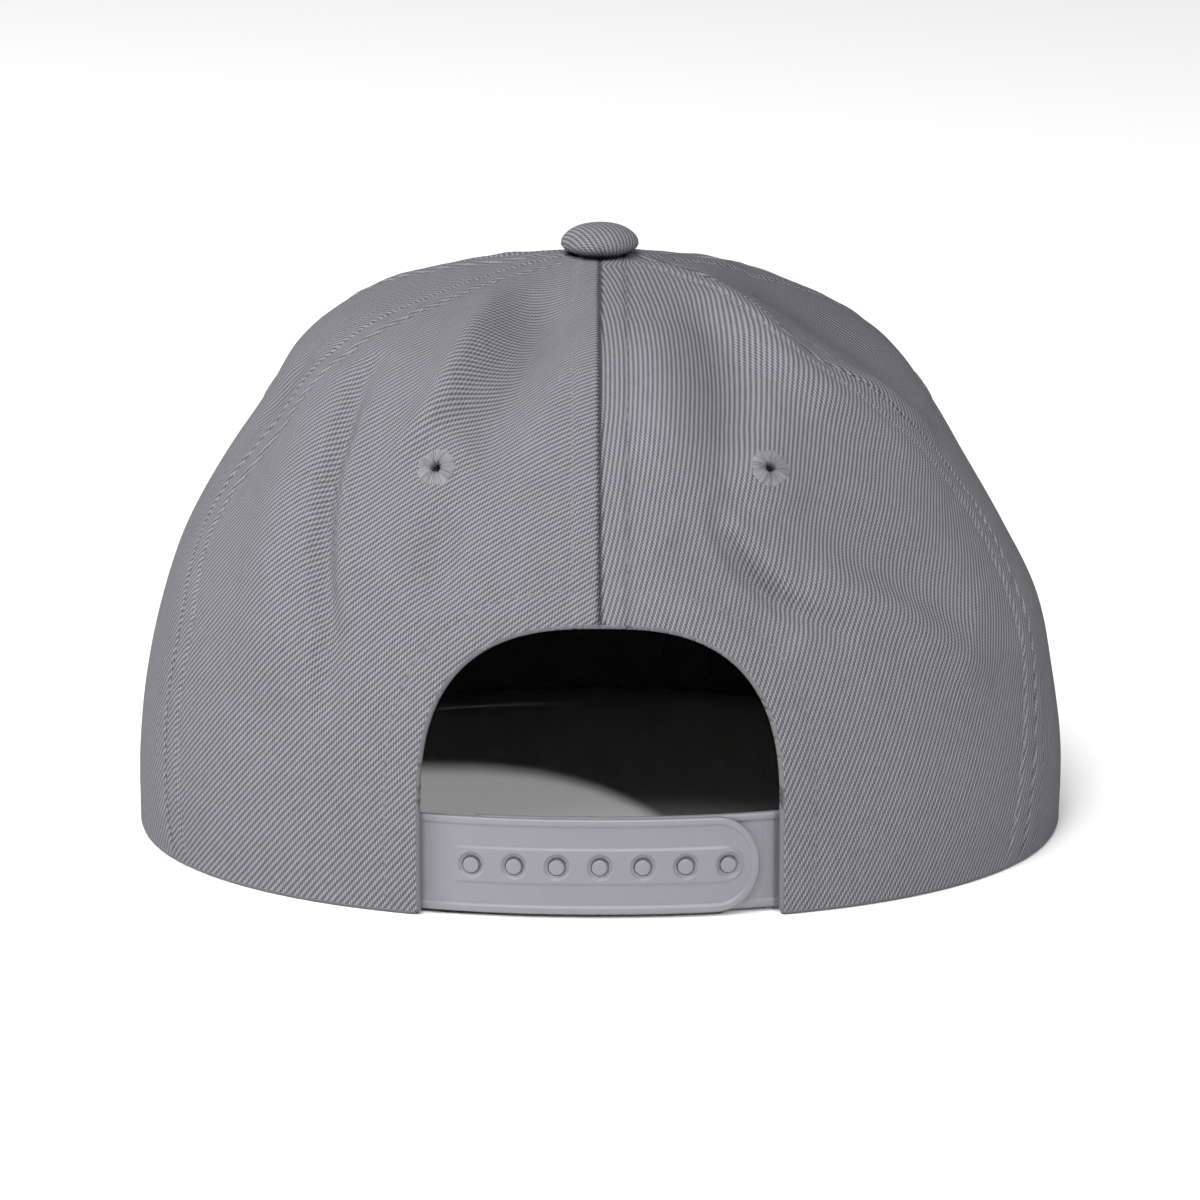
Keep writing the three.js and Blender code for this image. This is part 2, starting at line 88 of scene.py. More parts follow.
# Pegs sit a little aside and low in their holes, with their tops just under the strap's face
PEG_SHIFT = 0.1
PEG_SINK = 0.15
PEG_TOP = 0.12
HOLE_RADIUS = 1.85
SINK_RADIUS = 2.5
SINK_DEPTH = 0.12
RIDGE_HALF_LENGTH = 29.5
RIDGE_HALF_HEIGHT = 3.7
# Fine lines moulded across the strap: place of the first, width and depth
STRAP_LINE = 34.6
LINE_WIDTH = 0.2
LINE_DEPTH = 0.06
STRAP_EDGE_DROP = 0.2
STRAP_EDGE_WIDTH = 0.35
# Step of the strap's grid
STRAP_STEP = 0.24

BAND_HEIGHT = 31.0
BAND_THICKNESS = 1.5
BAND_INSET = WALL + 0.3
BAND_GAP = 3.5
BAND_WAVE = 0.12
# Room that the band leaves for the two strap ends
STRAP_STACK = 2 * (STRAP_THICKNESS + 0.3)

# Relief of the cloth
FOLD_RISE = 3.0
FOLD_WIDTH = 8.0
SEAM_BAND = 5.6
SEAM_RISE = 0.5
SEAM_SOFT = 0.9
SEAM_GROOVE = 0.6
SEAM_GROOVE_WIDTH = 0.5
SEAM_PUCKER = 0.3
HEM_WIDTH = 7.3
HEM_RISE = 0.35
HEM_SOFT = 0.8
STITCH_PITCH = 3.1
STITCH_LENGTH = 2.5
STITCH_RADIUS = 0.15
STITCH_STEPS = 5
STITCH_SIDES = 6
STITCH_GROOVE_WIDTH = 0.7
SEAM_STITCH_GROOVE = 0.25
HEM_STITCH_GROOVE = 0.2
EYELET_RADIUS = 4.1
EYELET_THREADS = 44
EYELET_DIP = 2.2
# How far an eyelet's threads stand out, and the unevenness of its rim and of its hole
EYELET_THREAD_RISE = 0.13
RIM_UNEVEN = 0.03
HOLE_UNEVEN = 0.15
# Folds fade out within this distance of an eyelet
EYELET_CALM = 9.0
VISOR_ROWS = 8
VISOR_ROW_START = 6.5
VISOR_ROW_PITCH = 6.4
VISOR_GROOVE = 0.2
VISOR_GROOVE_WIDTH = 0.6
# Share of its thickness that each face of the visor loses at the edge
VISOR_THIN = 0.25

# Weave: yarns aside, picks up, picks in a repeat, and the share of it that the warp floats over
YARN_PITCH = 0.39
PICK_PITCH = 0.66
REPEAT = 3
FLOAT_SHARE = 0.64
# Shares of the weave's tone: its height, its fibres, wide blotches and single floats
HEIGHT_TONE = 0.85
FIBRE_TONE = 0.3
MOTTLE_TONE = 0.1
DASH_TONE = 0.08
# Turn of the weave on the button, degrees
BUTTON_TURN = -58
# Half width of the painted shade along the back's centre seam
SEAM_PAINTED_SHADE = 0.42
# Painted shade on the upper right side: degrees and t, reach and how much darker
PAINTED_SHADE_SPOT = (-88.0, 0.8)
PAINTED_SHADE_REACH = 30.0
PAINTED_SHADE_AMOUNT = 0.22

MM = 0.001
# From the crown's frame to the row frame, in metres
SHIFT = np.array([0.0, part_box("visor")[0].y + (FRONT_DEPTH + VISOR_REACH) * MM, 0.0])


def table(names, rows):
    """Rows of numbers as columns by name."""
    return {name: np.array(values, float) for name, values in zip(names.split(), zip(*rows))}


# Crown sections from the rim to the button, each column a share of its driving size
SECTIONS = table("t up left right back front lean", [
    (0.00, 0.000, 0.998, 0.997, 0.985, 1.000, 0.00),
    (0.10, 0.135, 0.997, 0.999, 0.985, 0.998, 0.00),
    (0.20, 0.268, 0.980, 0.979, 0.981, 0.985, 0.03),
    (0.30, 0.397, 0.946, 0.947, 0.965, 0.962, 0.08),
    (0.40, 0.520, 0.894, 0.873, 0.938, 0.920, 0.17),
    (0.50, 0.634, 0.816, 0.793, 0.893, 0.858, 0.29),
    (0.60, 0.742, 0.725, 0.714, 0.830, 0.769, 0.46),
    (0.70, 0.838, 0.650, 0.622, 0.738, 0.631, 0.67),
    (0.79, 0.910, 0.527, 0.471, 0.613, 0.470, 0.83),
    (0.87, 0.952, 0.350, 0.330, 0.451, 0.308, 0.94),
    (0.94, 0.978, 0.175, 0.167, 0.250, 0.155, 1.00),
    (1.00, 1.000, 0.000, 0.000, 0.000, 0.000, 1.00),
])

# Seams between the back and side panels, degrees at each share t
SIDE_SEAMS = table("t left right", [
    (0.00, 63.0, -61.0),
    (0.13, 65.8, -65.5),
    (0.22, 67.3, -69.2),
    (0.31, 68.2, -72.0),
    (0.41, 72.5, -75.0),
    (0.48, 74.5, -74.5),
    (0.56, 72.0, -69.5),
    (0.64, 68.0, -60.5),
    (0.72, 65.5, -53.0),
    (0.80, 64.5, -52.5),
    (0.87, 67.0, -60.0),
    (0.93, 73.0, -73.0),
    (1.00, 84.0, -84.0),
])

# Folds and dents: rise is a share of FOLD_RISE, spread a share of FOLD_WIDTH,
# path points are (degrees, t)
FOLDS = [
    (-1.30, 0.38, [(51, 0.76), (50.5, 0.71), (48, 0.63), (46.5, 0.57), (43.8, 0.51), (41, 0.45), (37, 0.36),
                   (35, 0.24)]),
    (0.80, 1.10, [(60, 0.74), (58, 0.64), (55, 0.55), (51, 0.45), (46, 0.33), (44, 0.24)]),
    (0.60, 0.50, [(45.5, 0.70), (45, 0.63), (43.5, 0.57), (40.5, 0.51), (37.5, 0.45), (34, 0.36)]),
    (1.10, 0.55, [(60, 0.955), (44, 0.89), (31.5, 0.79), (30, 0.71), (32, 0.64), (34, 0.59)]),
    (-1.70, 0.95, [(42, 0.96), (26, 0.92), (18.5, 0.83), (18, 0.75), (19.8, 0.67), (21, 0.59)]),
    (-0.80, 0.60, [(26, 0.57), (23, 0.47), (22, 0.40)]),
    (-1.10, 0.70, [(-44, 0.89), (-31.5, 0.78), (-25, 0.68), (-23.5, 0.58), (-21, 0.53)]),
    (0.70, 0.80, [(-20, 0.86), (-13, 0.77), (-11.5, 0.68), (-11, 0.57)]),
    (-1.25, 0.32, [(-18, 0.56), (-19, 0.51), (-21, 0.478), (-23.2, 0.444), (-25.8, 0.416), (-29, 0.39),
                   (-35, 0.35)]),
    (0.80, 0.65, [(-31, 0.45), (-37.5, 0.415), (-43.5, 0.37), (-49.5, 0.32), (-57, 0.25)]),
    (-1.10, 1.20, [(-24, 0.57), (-36.5, 0.515), (-42, 0.47), (-49, 0.42), (-57, 0.34)]),
    (-0.80, 0.70, [(-10, 0.51), (-17, 0.455), (-22, 0.416), (-26, 0.35)]),
    (1.10, 0.75, [(-64, 0.92), (-50, 0.85), (-45, 0.79), (-44, 0.74), (-47, 0.69), (-55, 0.63),
                  (-67, 0.50)]),
    (-1.40, 1.50, [(-100, 0.90), (-90, 0.84), (-80, 0.765), (-78, 0.70), (-80, 0.62)]),
    (0.80, 0.65, [(-53, 0.73), (-58, 0.69), (-65, 0.64), (-74, 0.57)]),
    (-0.80, 0.70, [(73, 0.72), (76, 0.66), (80, 0.61), (83, 0.53)]),
]

# Eyelets: degrees and t on the crown
EYELETS = {
    "eyelet_back_left": (27.5, 0.602),
    "eyelet_back_right": (-29.1, 0.600),
    "eyelet_side_left": (103.0, 0.6),
    "eyelet_side_right": (-103.0, 0.6),
    "eyelet_front_left": (150.0, 0.62),
    "eyelet_front_right": (-150.0, 0.62),
}


def smoothstep(low, high, value):
    share = np.clip((value - low) / (high - low), 0, 1)
    return share * share * (3 - 2 * share)


def mound(distance, width):
    """1 at no distance, and close to 0 beyond two widths."""
    return np.exp(-((distance / width) ** 2))


def unit(vectors):
    return vectors / np.maximum(np.linalg.norm(vectors, axis=-1, keepdims=True), 1e-12)


def along(columns, name, t):
    """Smooth curve through one column of a table."""
    places, values = columns["t"], columns[name]
    slopes = np.gradient(values)
    slopes[1:-1] = (values[2:] - values[:-2]) / (places[2:] - places[:-2])
    slopes[0] = (values[1] - values[0]) / (places[1] - places[0])
    slopes[-1] = (values[-1] - values[-2]) / (places[-1] - places[-2])
    k = np.clip(np.searchsorted(places, t) - 1, 0, len(places) - 2)
    span = places[k + 1] - places[k]
    u = (t - places[k]) / span
    start = values[k] * (1 + 2 * u) * (1 - u) ** 2 + slopes[k] * span * u * (1 - u) ** 2
    end = values[k + 1] * u * u * (3 - 2 * u) - slopes[k + 1] * span * u * u * (1 - u)
    return start + end


def crown_sizes(t):
    """Half width left and right, half depth back and front, lean to the front and height at t."""
    left, right = (HALF_WIDTH * along(SECTIONS, side, t) for side in ("left", "right"))
    back = BACK_DEPTH * along(SECTIONS, "back", t)
    front = FRONT_DEPTH * along(SECTIONS, "front", t)
    lean = CROWN_LEAN * along(SECTIONS, "lean", t)
    return left, right, back, front, lean, CROWN_HEIGHT * along(SECTIONS, "up", t)


def crown_base(phi, t):
    """Points of the smooth crown's outer face, before any relief."""
    s, c = np.sin(np.radians(phi)), np.cos(np.radians(phi))
    reach = (np.abs(s) ** ROUNDNESS + np.abs(c) ** ROUNDNESS) ** (-1 / ROUNDNESS)
    left, right, back, front, lean, up = crown_sizes(t)
    across = np.where(s > 0, left, right)
    deep = np.where(c > 0, back, front)
    return np.stack(np.broadcast_arrays(across * reach * s, deep * reach * c - lean, up), -1)


def crown_normal(phi, t):
    step = 0.002
    top = np.minimum(t, 1 - 2 * step)
    aside = crown_base(phi + 0.2, top) - crown_base(phi - 0.2, top)
    upward = crown_base(phi, top + step) - crown_base(phi, np.maximum(top - step, 0))
    return unit(np.cross(upward, aside))


def rim_share(height, row=2):
    """The t at a height above the rim, from a low row of the crown's sections."""
    return height / CROWN_HEIGHT / (SECTIONS["up"][row] / SECTIONS["t"][row])


def rim_lift(phi):
    """The rim lifts over the visor, most at the middle of the front."""
    front = np.clip((np.abs(phi) - FRONT_SEAM) / (180 - FRONT_SEAM), 0, 1)
    return RIM_LIFT * np.sin(front * math.pi / 2) ** 2


def fold_rise(points):
    """How far folds push the cloth out at points of the smooth crown."""
    total = np.zeros(points.shape[:-1])
    for rise, spread, path in FOLDS:
        corners = crown_base(*np.array(path, float).T)
        best = np.full(total.shape, np.inf)
        place = np.zeros(total.shape)
        for k in range(len(corners) - 1):
            leg = corners[k + 1] - corners[k]
            share = np.clip((points - corners[k]) @ leg / (leg @ leg), 0, 1)
            distance = np.linalg.norm(corners[k] + share[..., None] * leg - points, axis=-1)
            nearer = distance < best
            best = np.where(nearer, distance, best)
            place = np.where(nearer, (k + share) / (len(corners) - 1), place)
        ends = np.sin(math.pi * place).clip(0) ** 0.7
        total += rise * FOLD_RISE * ends * mound(best, spread * FOLD_WIDTH)
    for phi, t in EYELETS.values():
        distance = np.linalg.norm(points - crown_base(phi, t), axis=-1)
        total *= 1 - np.exp(-((distance / EYELET_CALM) ** 4))
    return total


def arch_outline(grow):
    """Points (x, z) along the back opening, from +X round to -X, grown outward."""
    angle = np.linspace(0, math.pi, 161)
    power = 2 / ARCH_SQUARENESS
    x = (ARCH_HALF_WIDTH + grow) * np.sign(np.cos(angle)) * np.abs(np.cos(angle)) ** power
    z = ARCH_SPRING + (ARCH_HEIGHT + grow - ARCH_SPRING) * np.sin(angle).clip(0) ** power
    low = np.linspace(-ARCH_SPRING, ARCH_SPRING, 60, endpoint=False)
    side = np.full(low.shape, ARCH_HALF_WIDTH + grow)
    parts = [(side, low), (x, z), (-side, low[::-1])]
    return np.concatenate([np.stack(part, -1) for part in parts])


def arch_distance(x, z, grow=0.0):
    """Distance outside the back opening's outline, and the nearest point on it."""
    outline = arch_outline(grow)
    spots = np.stack([x, z], -1).reshape(-1, 1, 2)
    nearest = np.concatenate([
        np.linalg.norm(part - outline[None], axis=-1).argmin(1) for part in np.array_split(spots, 40)
    ])
    close = outline[nearest].reshape(*np.shape(x), 2)
    distance = np.hypot(x - close[..., 0], z - close[..., 1])
    lift = np.maximum(z - ARCH_SPRING, 0) / (ARCH_HEIGHT + grow - ARCH_SPRING)
    inside = (np.abs(x) / (ARCH_HALF_WIDTH + grow)) ** ARCH_SQUARENESS + lift ** ARCH_SQUARENESS < 1
    return np.where(inside, -distance, distance), close


def back_place(x, z):
    """Degrees and t of the point of the smooth crown's back at x and z."""
    t = np.linspace(0, 1, 400)
    t = np.interp(z, CROWN_HEIGHT * along(SECTIONS, "up", t), t)
    left, right, *_ = crown_sizes(t)
    share = np.abs(x) / np.where(x > 0, left, right)
    return np.degrees(np.arctan2(np.sign(x) * share, (1 - share ** ROUNDNESS) ** (1 / ROUNDNESS))), t


def ripple(place, seed):
    """Uneven waves, the same at each run."""
    dice = np.random.default_rng(seed)
    total = np.zeros(np.shape(place))
    for length in (7.0, 11.0, 17.0, 26.0):
        total += np.sin(place * 2 * math.pi / length + dice.uniform(0, 2 * math.pi)) * dice.uniform(0.4, 1)
    return total / 2


def to_row_frame(points):
    """Millimetres in the crown's frame to metres in the row frame."""
    return np.asarray(points) * MM + SHIFT


def add_mesh(name, points, faces, materials, cloth=None, face_material=None, painted_shade=None):
    mesh = bpy.data.meshes.new(name)
    mesh.from_pydata(to_row_frame(points).tolist(), [], [tuple(face) for face in faces])
    for material in materials:
        mesh.materials.append(material)
    mesh.polygons.foreach_set("use_smooth", np.ones(len(mesh.polygons), bool))
    if face_material is not None:
        mesh.polygons.foreach_set("material_index", face_material)
    if cloth is not None:
        corners = np.empty(len(mesh.loops), np.int32)
        mesh.loops.foreach_get("vertex_index", corners)
        layer = mesh.uv_layers.new(name="cloth")
        layer.data.foreach_set("uv", np.asarray(cloth, np.float32)[corners].ravel())
    # Painted shade, stored per point for the weave
    if painted_shade is not None:
        layer = mesh.attributes.new("painted_shade", "FLOAT", "POINT")
        layer.data.foreach_set("value", np.asarray(painted_shade, np.float32))
    piece = bpy.data.objects.new(name, mesh)
    bpy.context.scene.collection.objects.link(piece)
    return piece


def border_edges(quads):
    """Edges that have a quad on one side only, in that quad's direction."""
    edges = np.concatenate([quads[:, [k, (k + 1) % 4]] for k in range(4)])
    known = set(map(tuple, edges.tolist()))
    return np.array([(a, b) for a, b in edges.tolist() if (b, a) not in known])


def off_sheet(middle, out, border, rolled):
    """Unit vectors that point off a sheet along its rolled border, and zero elsewhere."""
    away = np.zeros(middle.shape)
    turn = np.cross(middle[border[:, 1]] - middle[border[:, 0]], out[border[:, 0]])
    soft = rolled[border[:, 0]] & rolled[border[:, 1]]
    for end in (0, 1):
        np.add.at(away, border[soft, end], unit(turn[soft]))
    return unit(away) * (np.linalg.norm(away, axis=1, keepdims=True) > 0)


def shell(name, outer, inner, keep, rolled, cloth, materials, painted_shade=None):
    """Closed sheet from the kept cells of two grids of points.

    Its border is closed, and rounded where rolled. The materials are the outer face's, the inner
    face's and the border's; with fewer than three, the border takes the first.
    """
    columns, rows = outer.shape[:2]
    index = np.arange(columns * rows).reshape(columns, rows)
    quads = np.stack([index[:-1, :-1], index[1:, :-1], index[1:, 1:], index[:-1, 1:]], -1)[keep]
    outer, inner, cloth = (a.reshape(columns * rows, -1) for a in (outer, inner, cloth))
    first = outer[quads]
    facing = np.cross(first[:, 1] - first[:, 0], first[:, 2] - first[:, 0])
    if (facing * (first[:, 0] - inner[quads[:, 0]])).sum() < 0:
        quads = quads[:, ::-1]
    border = border_edges(quads)
    count = len(outer)
    middle = (outer + inner) / 2
    out = unit(outer - inner)
    away = off_sheet(middle, out, border, rolled.ravel())
    thickness = np.linalg.norm(outer - inner, axis=1, keepdims=True) / 2
    rings = [outer, inner]
    for angle in np.radians((45, 90, 135)):
        rings.append(middle + thickness * (np.cos(angle) * out + np.sin(angle) * away))
    points = np.concatenate(rings)
    # Strips of the border join the outer ring to the inner one, over the three rounded ones
    order = [0, 2, 3, 4, 1]
    a, b = border.T
    strips = [
        np.stack([b + near * count, a + near * count, a + far * count, b + far * count], -1)
        for near, far in zip(order, order[1:])
    ]
    faces = np.concatenate([quads, quads[:, ::-1] + count] + strips)
    kind = np.zeros(len(faces), np.int32)
    kind[len(quads):2 * len(quads)] = min(1, len(materials) - 1)
    kind[2 * len(quads):] = 2 if len(materials) > 2 else 0
    used, compact = np.unique(faces, return_inverse=True)
    cloth = np.concatenate([cloth] * len(rings))
    painted_shade = np.zeros(outer.shape[:1]) if painted_shade is None else painted_shade.ravel()
    painted_shade = np.concatenate([painted_shade] * len(rings))
    faces = compact.reshape(faces.shape)
    return add_mesh(name, points[used], faces, materials, cloth[used], kind, painted_shade[used])


class Panel:
    """One crown panel: a grid between two seams, with its cloth measured in millimetres."""

    def __init__(self, name, start, stop, columns, rows, seed, turn):
        self.name, self.start, self.stop = name, start, stop
        self.seed, self.turn = seed, math.radians(turn)
        share = np.linspace(0, 1, columns + 1)
        self.shares = 0.45 * share + 0.55 * (0.5 - 0.5 * np.cos(math.pi * share))
        self.levels = np.linspace(0, TOP_HOLE_T, rows + 1)
        base = crown_base(*self.grid())
        steps = np.linalg.norm(np.diff(base, axis=0), axis=-1)
        self.across = np.concatenate([np.zeros((1, rows + 1)), np.cumsum(steps, 0)])
        spine = base[columns // 2]
        self.up = np.concatenate([[0], np.cumsum(np.linalg.norm(np.diff(spine, axis=0), axis=-1))])
        # Laid flat, the panel has smooth edges, and its level lines bow up at them
        flat_width = np.polyval(np.polyfit(self.up, self.across[-1], 2), self.up)
        self.width = np.maximum(flat_width, 1)
        self.bow = -np.gradient(self.width, self.up) / np.maximum(self.width, 20)
        self.straight_stop = abs(stop(0.5) - stop(0.2)) < 1

    def grid(self):
        t = np.broadcast_to(self.levels, (len(self.shares), len(self.levels)))
        share = self.shares[:, None]
        return self.start(t) * (1 - share) + self.stop(t) * share, t

    def measure(self, phi, t):
        """Distance from the two seams, and the height along the cloth."""
        share = (phi - self.start(t)) / (self.stop(t) - self.start(t))
        i = np.interp(share, self.shares, np.arange(len(self.shares)))
        j = np.interp(t, self.levels, np.arange(len(self.levels)))
        i0 = np.minimum(i.astype(int), len(self.shares) - 2)
        j0 = np.minimum(j.astype(int), len(self.levels) - 2)
        fi, fj = i - i0, j - j0
        low = self.across[i0, j0] * (1 - fi) + self.across[i0 + 1, j0] * fi
        high = self.across[i0, j0 + 1] * (1 - fi) + self.across[i0 + 1, j0 + 1] * fi
        width = self.across[-1, j0] * (1 - fj) + self.across[-1, j0 + 1] * fj
        from_start = low * (1 - fj) + high * fj
        return from_start, width - from_start, np.interp(t, self.levels, self.up)

    def cloth(self, phi, t):
        """Flat place on the cut cloth, to the right and up as seen from outside."""
        from_start, from_stop, up = self.measure(phi, t)
        half = np.interp(t, self.levels, self.width) / 2
        aside = from_stop - half if self.straight_stop else half - from_start
        up = up + aside ** 2 * np.interp(t, self.levels, self.bow) / 2
        c, s = math.cos(self.turn), math.sin(self.turn)
        return np.stack([aside * c + up * s, up * c - aside * s], -1)

    def rise(self, phi, t, base):
        """How far folds, seams, hem and stitches move the cloth out, and eyelets in."""
        from_start, from_stop, up = self.measure(phi, t)
        # Folds end above the rim and are slight beside the button
        calm = smoothstep(0.12, 0.3, t) * (1 - 0.75 * smoothstep(0.86, 0.95, t))
        total = fold_rise(base) * calm
        for distance, seed in ((from_start, self.seed), (from_stop, self.seed + 1)):
            allowance = 1 - smoothstep(SEAM_BAND - SEAM_SOFT, SEAM_BAND + SEAM_SOFT, distance)
            total = total + SEAM_RISE * allowance
            total = total - SEAM_GROOVE * mound(distance, SEAM_GROOVE_WIDTH)
            total = total - SEAM_STITCH_GROOVE * mound(distance - SEAM_BAND, STITCH_GROOVE_WIDTH)
            fade = np.exp(-distance / 10) * (1 - np.exp(-distance / 2))
            total = total + SEAM_PUCKER * ripple(up, seed) * fade * smoothstep(0, 8, up)
        if "back" in self.name:
            hem, _ = arch_distance(base[..., 0], base[..., 2])
            total = total + HEM_RISE * (1 - smoothstep(HEM_WIDTH - HEM_SOFT, HEM_WIDTH + HEM_SOFT, hem))
            total = total - HEM_STITCH_GROOVE * mound(hem - HEM_WIDTH, STITCH_GROOVE_WIDTH)
        total = total * smoothstep(0, 0.03, t) * (1 - 0.6 * smoothstep(0.93, 0.98, t))
        for spot in EYELETS.values():
            distance = np.linalg.norm(base - crown_base(*spot), axis=-1)
            hole = 1 - smoothstep(0.4 * EYELET_RADIUS, 0.9 * EYELET_RADIUS, distance)
            total = total - EYELET_DIP * hole
        return total

    def beside(self, distance, from_stop):
        """The line on the panel at a distance from one of its seams."""
        lines = self.across[-1] - self.across if from_stop else self.across
        order = slice(None, None, -1) if from_stop else slice(None)
        share = np.array([np.interp(distance, line[order], self.shares[order]) for line in lines.T])
        t = self.levels
        clear = (self.across[-1] > 2 * distance + 2) & (t > 0.012)
        phi = self.start(t) * (1 - share) + self.stop(t) * share
        return phi[clear], t[clear]

    def surface(self, phi, t, depth=0.0):
        """Points of the panel, moved inward by depth from its outer face."""
        base = crown_base(phi, t)
        normal = crown_normal(phi, t)
        points = base + normal * (self.rise(phi, t, base) - depth)[..., None]
        points[..., 2] += rim_lift(phi) * (1 - smoothstep(0, 0.3, t))
        return points, normal

    def build(self, materials):
        """The panel as a closed piece."""
        phi, t = (a.copy() for a in self.grid())
        t = np.maximum(t, rim_share(WALL / 2, row=1))
        keep = np.ones((phi.shape[0] - 1, phi.shape[1] - 1), bool)
        rolled = np.zeros(phi.shape, bool)
        rolled[:, 0] = True
        if "back" in self.name:
            keep, rolled = self.cut_arch(phi, t, rolled)
        outer, _ = self.surface(phi, t)
        inner, _ = self.surface(phi, t, WALL)
        inner[:, 0, 2] = outer[:, 0, 2]
        from_start, from_stop, _ = self.measure(phi, t)
        middle = from_stop if self.straight_stop else from_start
        # Painted shade along the groove of the back's centre seam
        painted_shade = mound(middle, SEAM_PAINTED_SHADE) * ("back" in self.name)
        # Painted shade darkens the upper right side panel
        if self.name == "panel_side_right":
            away = np.linalg.norm(crown_base(phi, t) - crown_base(*PAINTED_SHADE_SPOT), axis=-1)
            painted_shade = painted_shade + PAINTED_SHADE_AMOUNT * mound(away, PAINTED_SHADE_REACH)
        return shell(self.name, outer, inner, keep, rolled, self.cloth(phi, t), materials, painted_shade)

    def cut_arch(self, phi, t, rolled):
        """Move grid points near the back opening onto its edge, and drop the cells inside it."""
        base = crown_base(phi, t)
        grow = WALL / 2
        distance, close = arch_distance(base[..., 0], base[..., 2], grow)
        outside = distance > 0.35
        beside = outside.copy()
        for step in ((1, 0), (-1, 0), (0, 1), (0, -1), (1, 1), (1, -1), (-1, 1), (-1, -1)):
            shifted = np.roll(outside, step, (0, 1))
            if step[0]:
                shifted[0 if step[0] > 0 else -1] = False
            if step[1]:
                shifted[:, 0 if step[1] > 0 else -1] = False
            beside |= shifted
        edge = beside & ~outside
        at_foot = t[edge] == t.min()
        edge_x, edge_z = close[edge].T
        edge_phi, edge_t = back_place(edge_x, np.maximum(edge_z, base[edge][:, 2] * at_foot))
        sides = np.sort([self.start(edge_t), self.stop(edge_t)], 0)
        phi[edge] = np.clip(edge_phi, *sides)
        t[edge] = np.where(at_foot, t[edge], edge_t)
        fine = outside | edge
        corners = [(slice(None, -1), slice(None, -1)), (slice(1, None), slice(None, -1)),
                   (slice(1, None), slice(1, None)), (slice(None, -1), slice(1, None))]
        keep = np.all([fine[c] for c in corners], 0) & np.any([outside[c] for c in corners], 0)
        return keep, rolled | edge


def new_material(name):
    material = bpy.data.materials.new(name)
    material.use_nodes = True
    return material, material.node_tree, material.node_tree.nodes["Principled BSDF"]


def calc(tree, operation, *inputs):
    """A maths node, its inputs sockets or numbers."""
    node = tree.nodes.new("ShaderNodeMath")
    node.operation = operation
    for socket, value in zip(node.inputs, inputs):
        if isinstance(value, bpy.types.NodeSocket):
            tree.links.new(value, socket)
        else:
            socket.default_value = value
    return node.outputs[0]


def noise(tree, vector, scale, detail=2.0):
    node = tree.nodes.new("ShaderNodeTexNoise")
    node.inputs["Scale"].default_value = scale
    node.inputs["Detail"].default_value = detail
    tree.links.new(vector, node.inputs["Vector"])
    return node.outputs["Fac"]


def blend(tree, share, dark, light):
    node = tree.nodes.new("ShaderNodeMix")
    node.data_type = "RGBA"
    tree.links.new(share, node.inputs["Factor"])
    node.inputs["A"].default_value = (*dark, 1)
    node.inputs["B"].default_value = (*light, 1)
    return node.outputs["Result"]


def swing(tree, value, pattern, amount):
    """A value moved down and up by a pattern that runs from 0 to 1."""
    return calc(tree, "ADD", value, calc(tree, "MULTIPLY", calc(tree, "SUBTRACT", pattern, 0.5), amount))


def cloth_place(tree):
    """The cloth coordinates, and each of the two alone."""
    place = tree.nodes.new("ShaderNodeUVMap")
    place.uv_map = "cloth"
    parts = tree.nodes.new("ShaderNodeSeparateXYZ")
    tree.links.new(place.outputs["UV"], parts.inputs["Vector"])
    return place.outputs["UV"], parts.outputs["X"], parts.outputs["Y"]


def add_bump(tree, shader, height, strength, distance):
    bump = tree.nodes.new("ShaderNodeBump")
    bump.inputs["Strength"].default_value = strength
    bump.inputs["Distance"].default_value = distance
    tree.links.new(height, bump.inputs["Height"])
    tree.links.new(bump.outputs["Normal"], shader.inputs["Normal"])


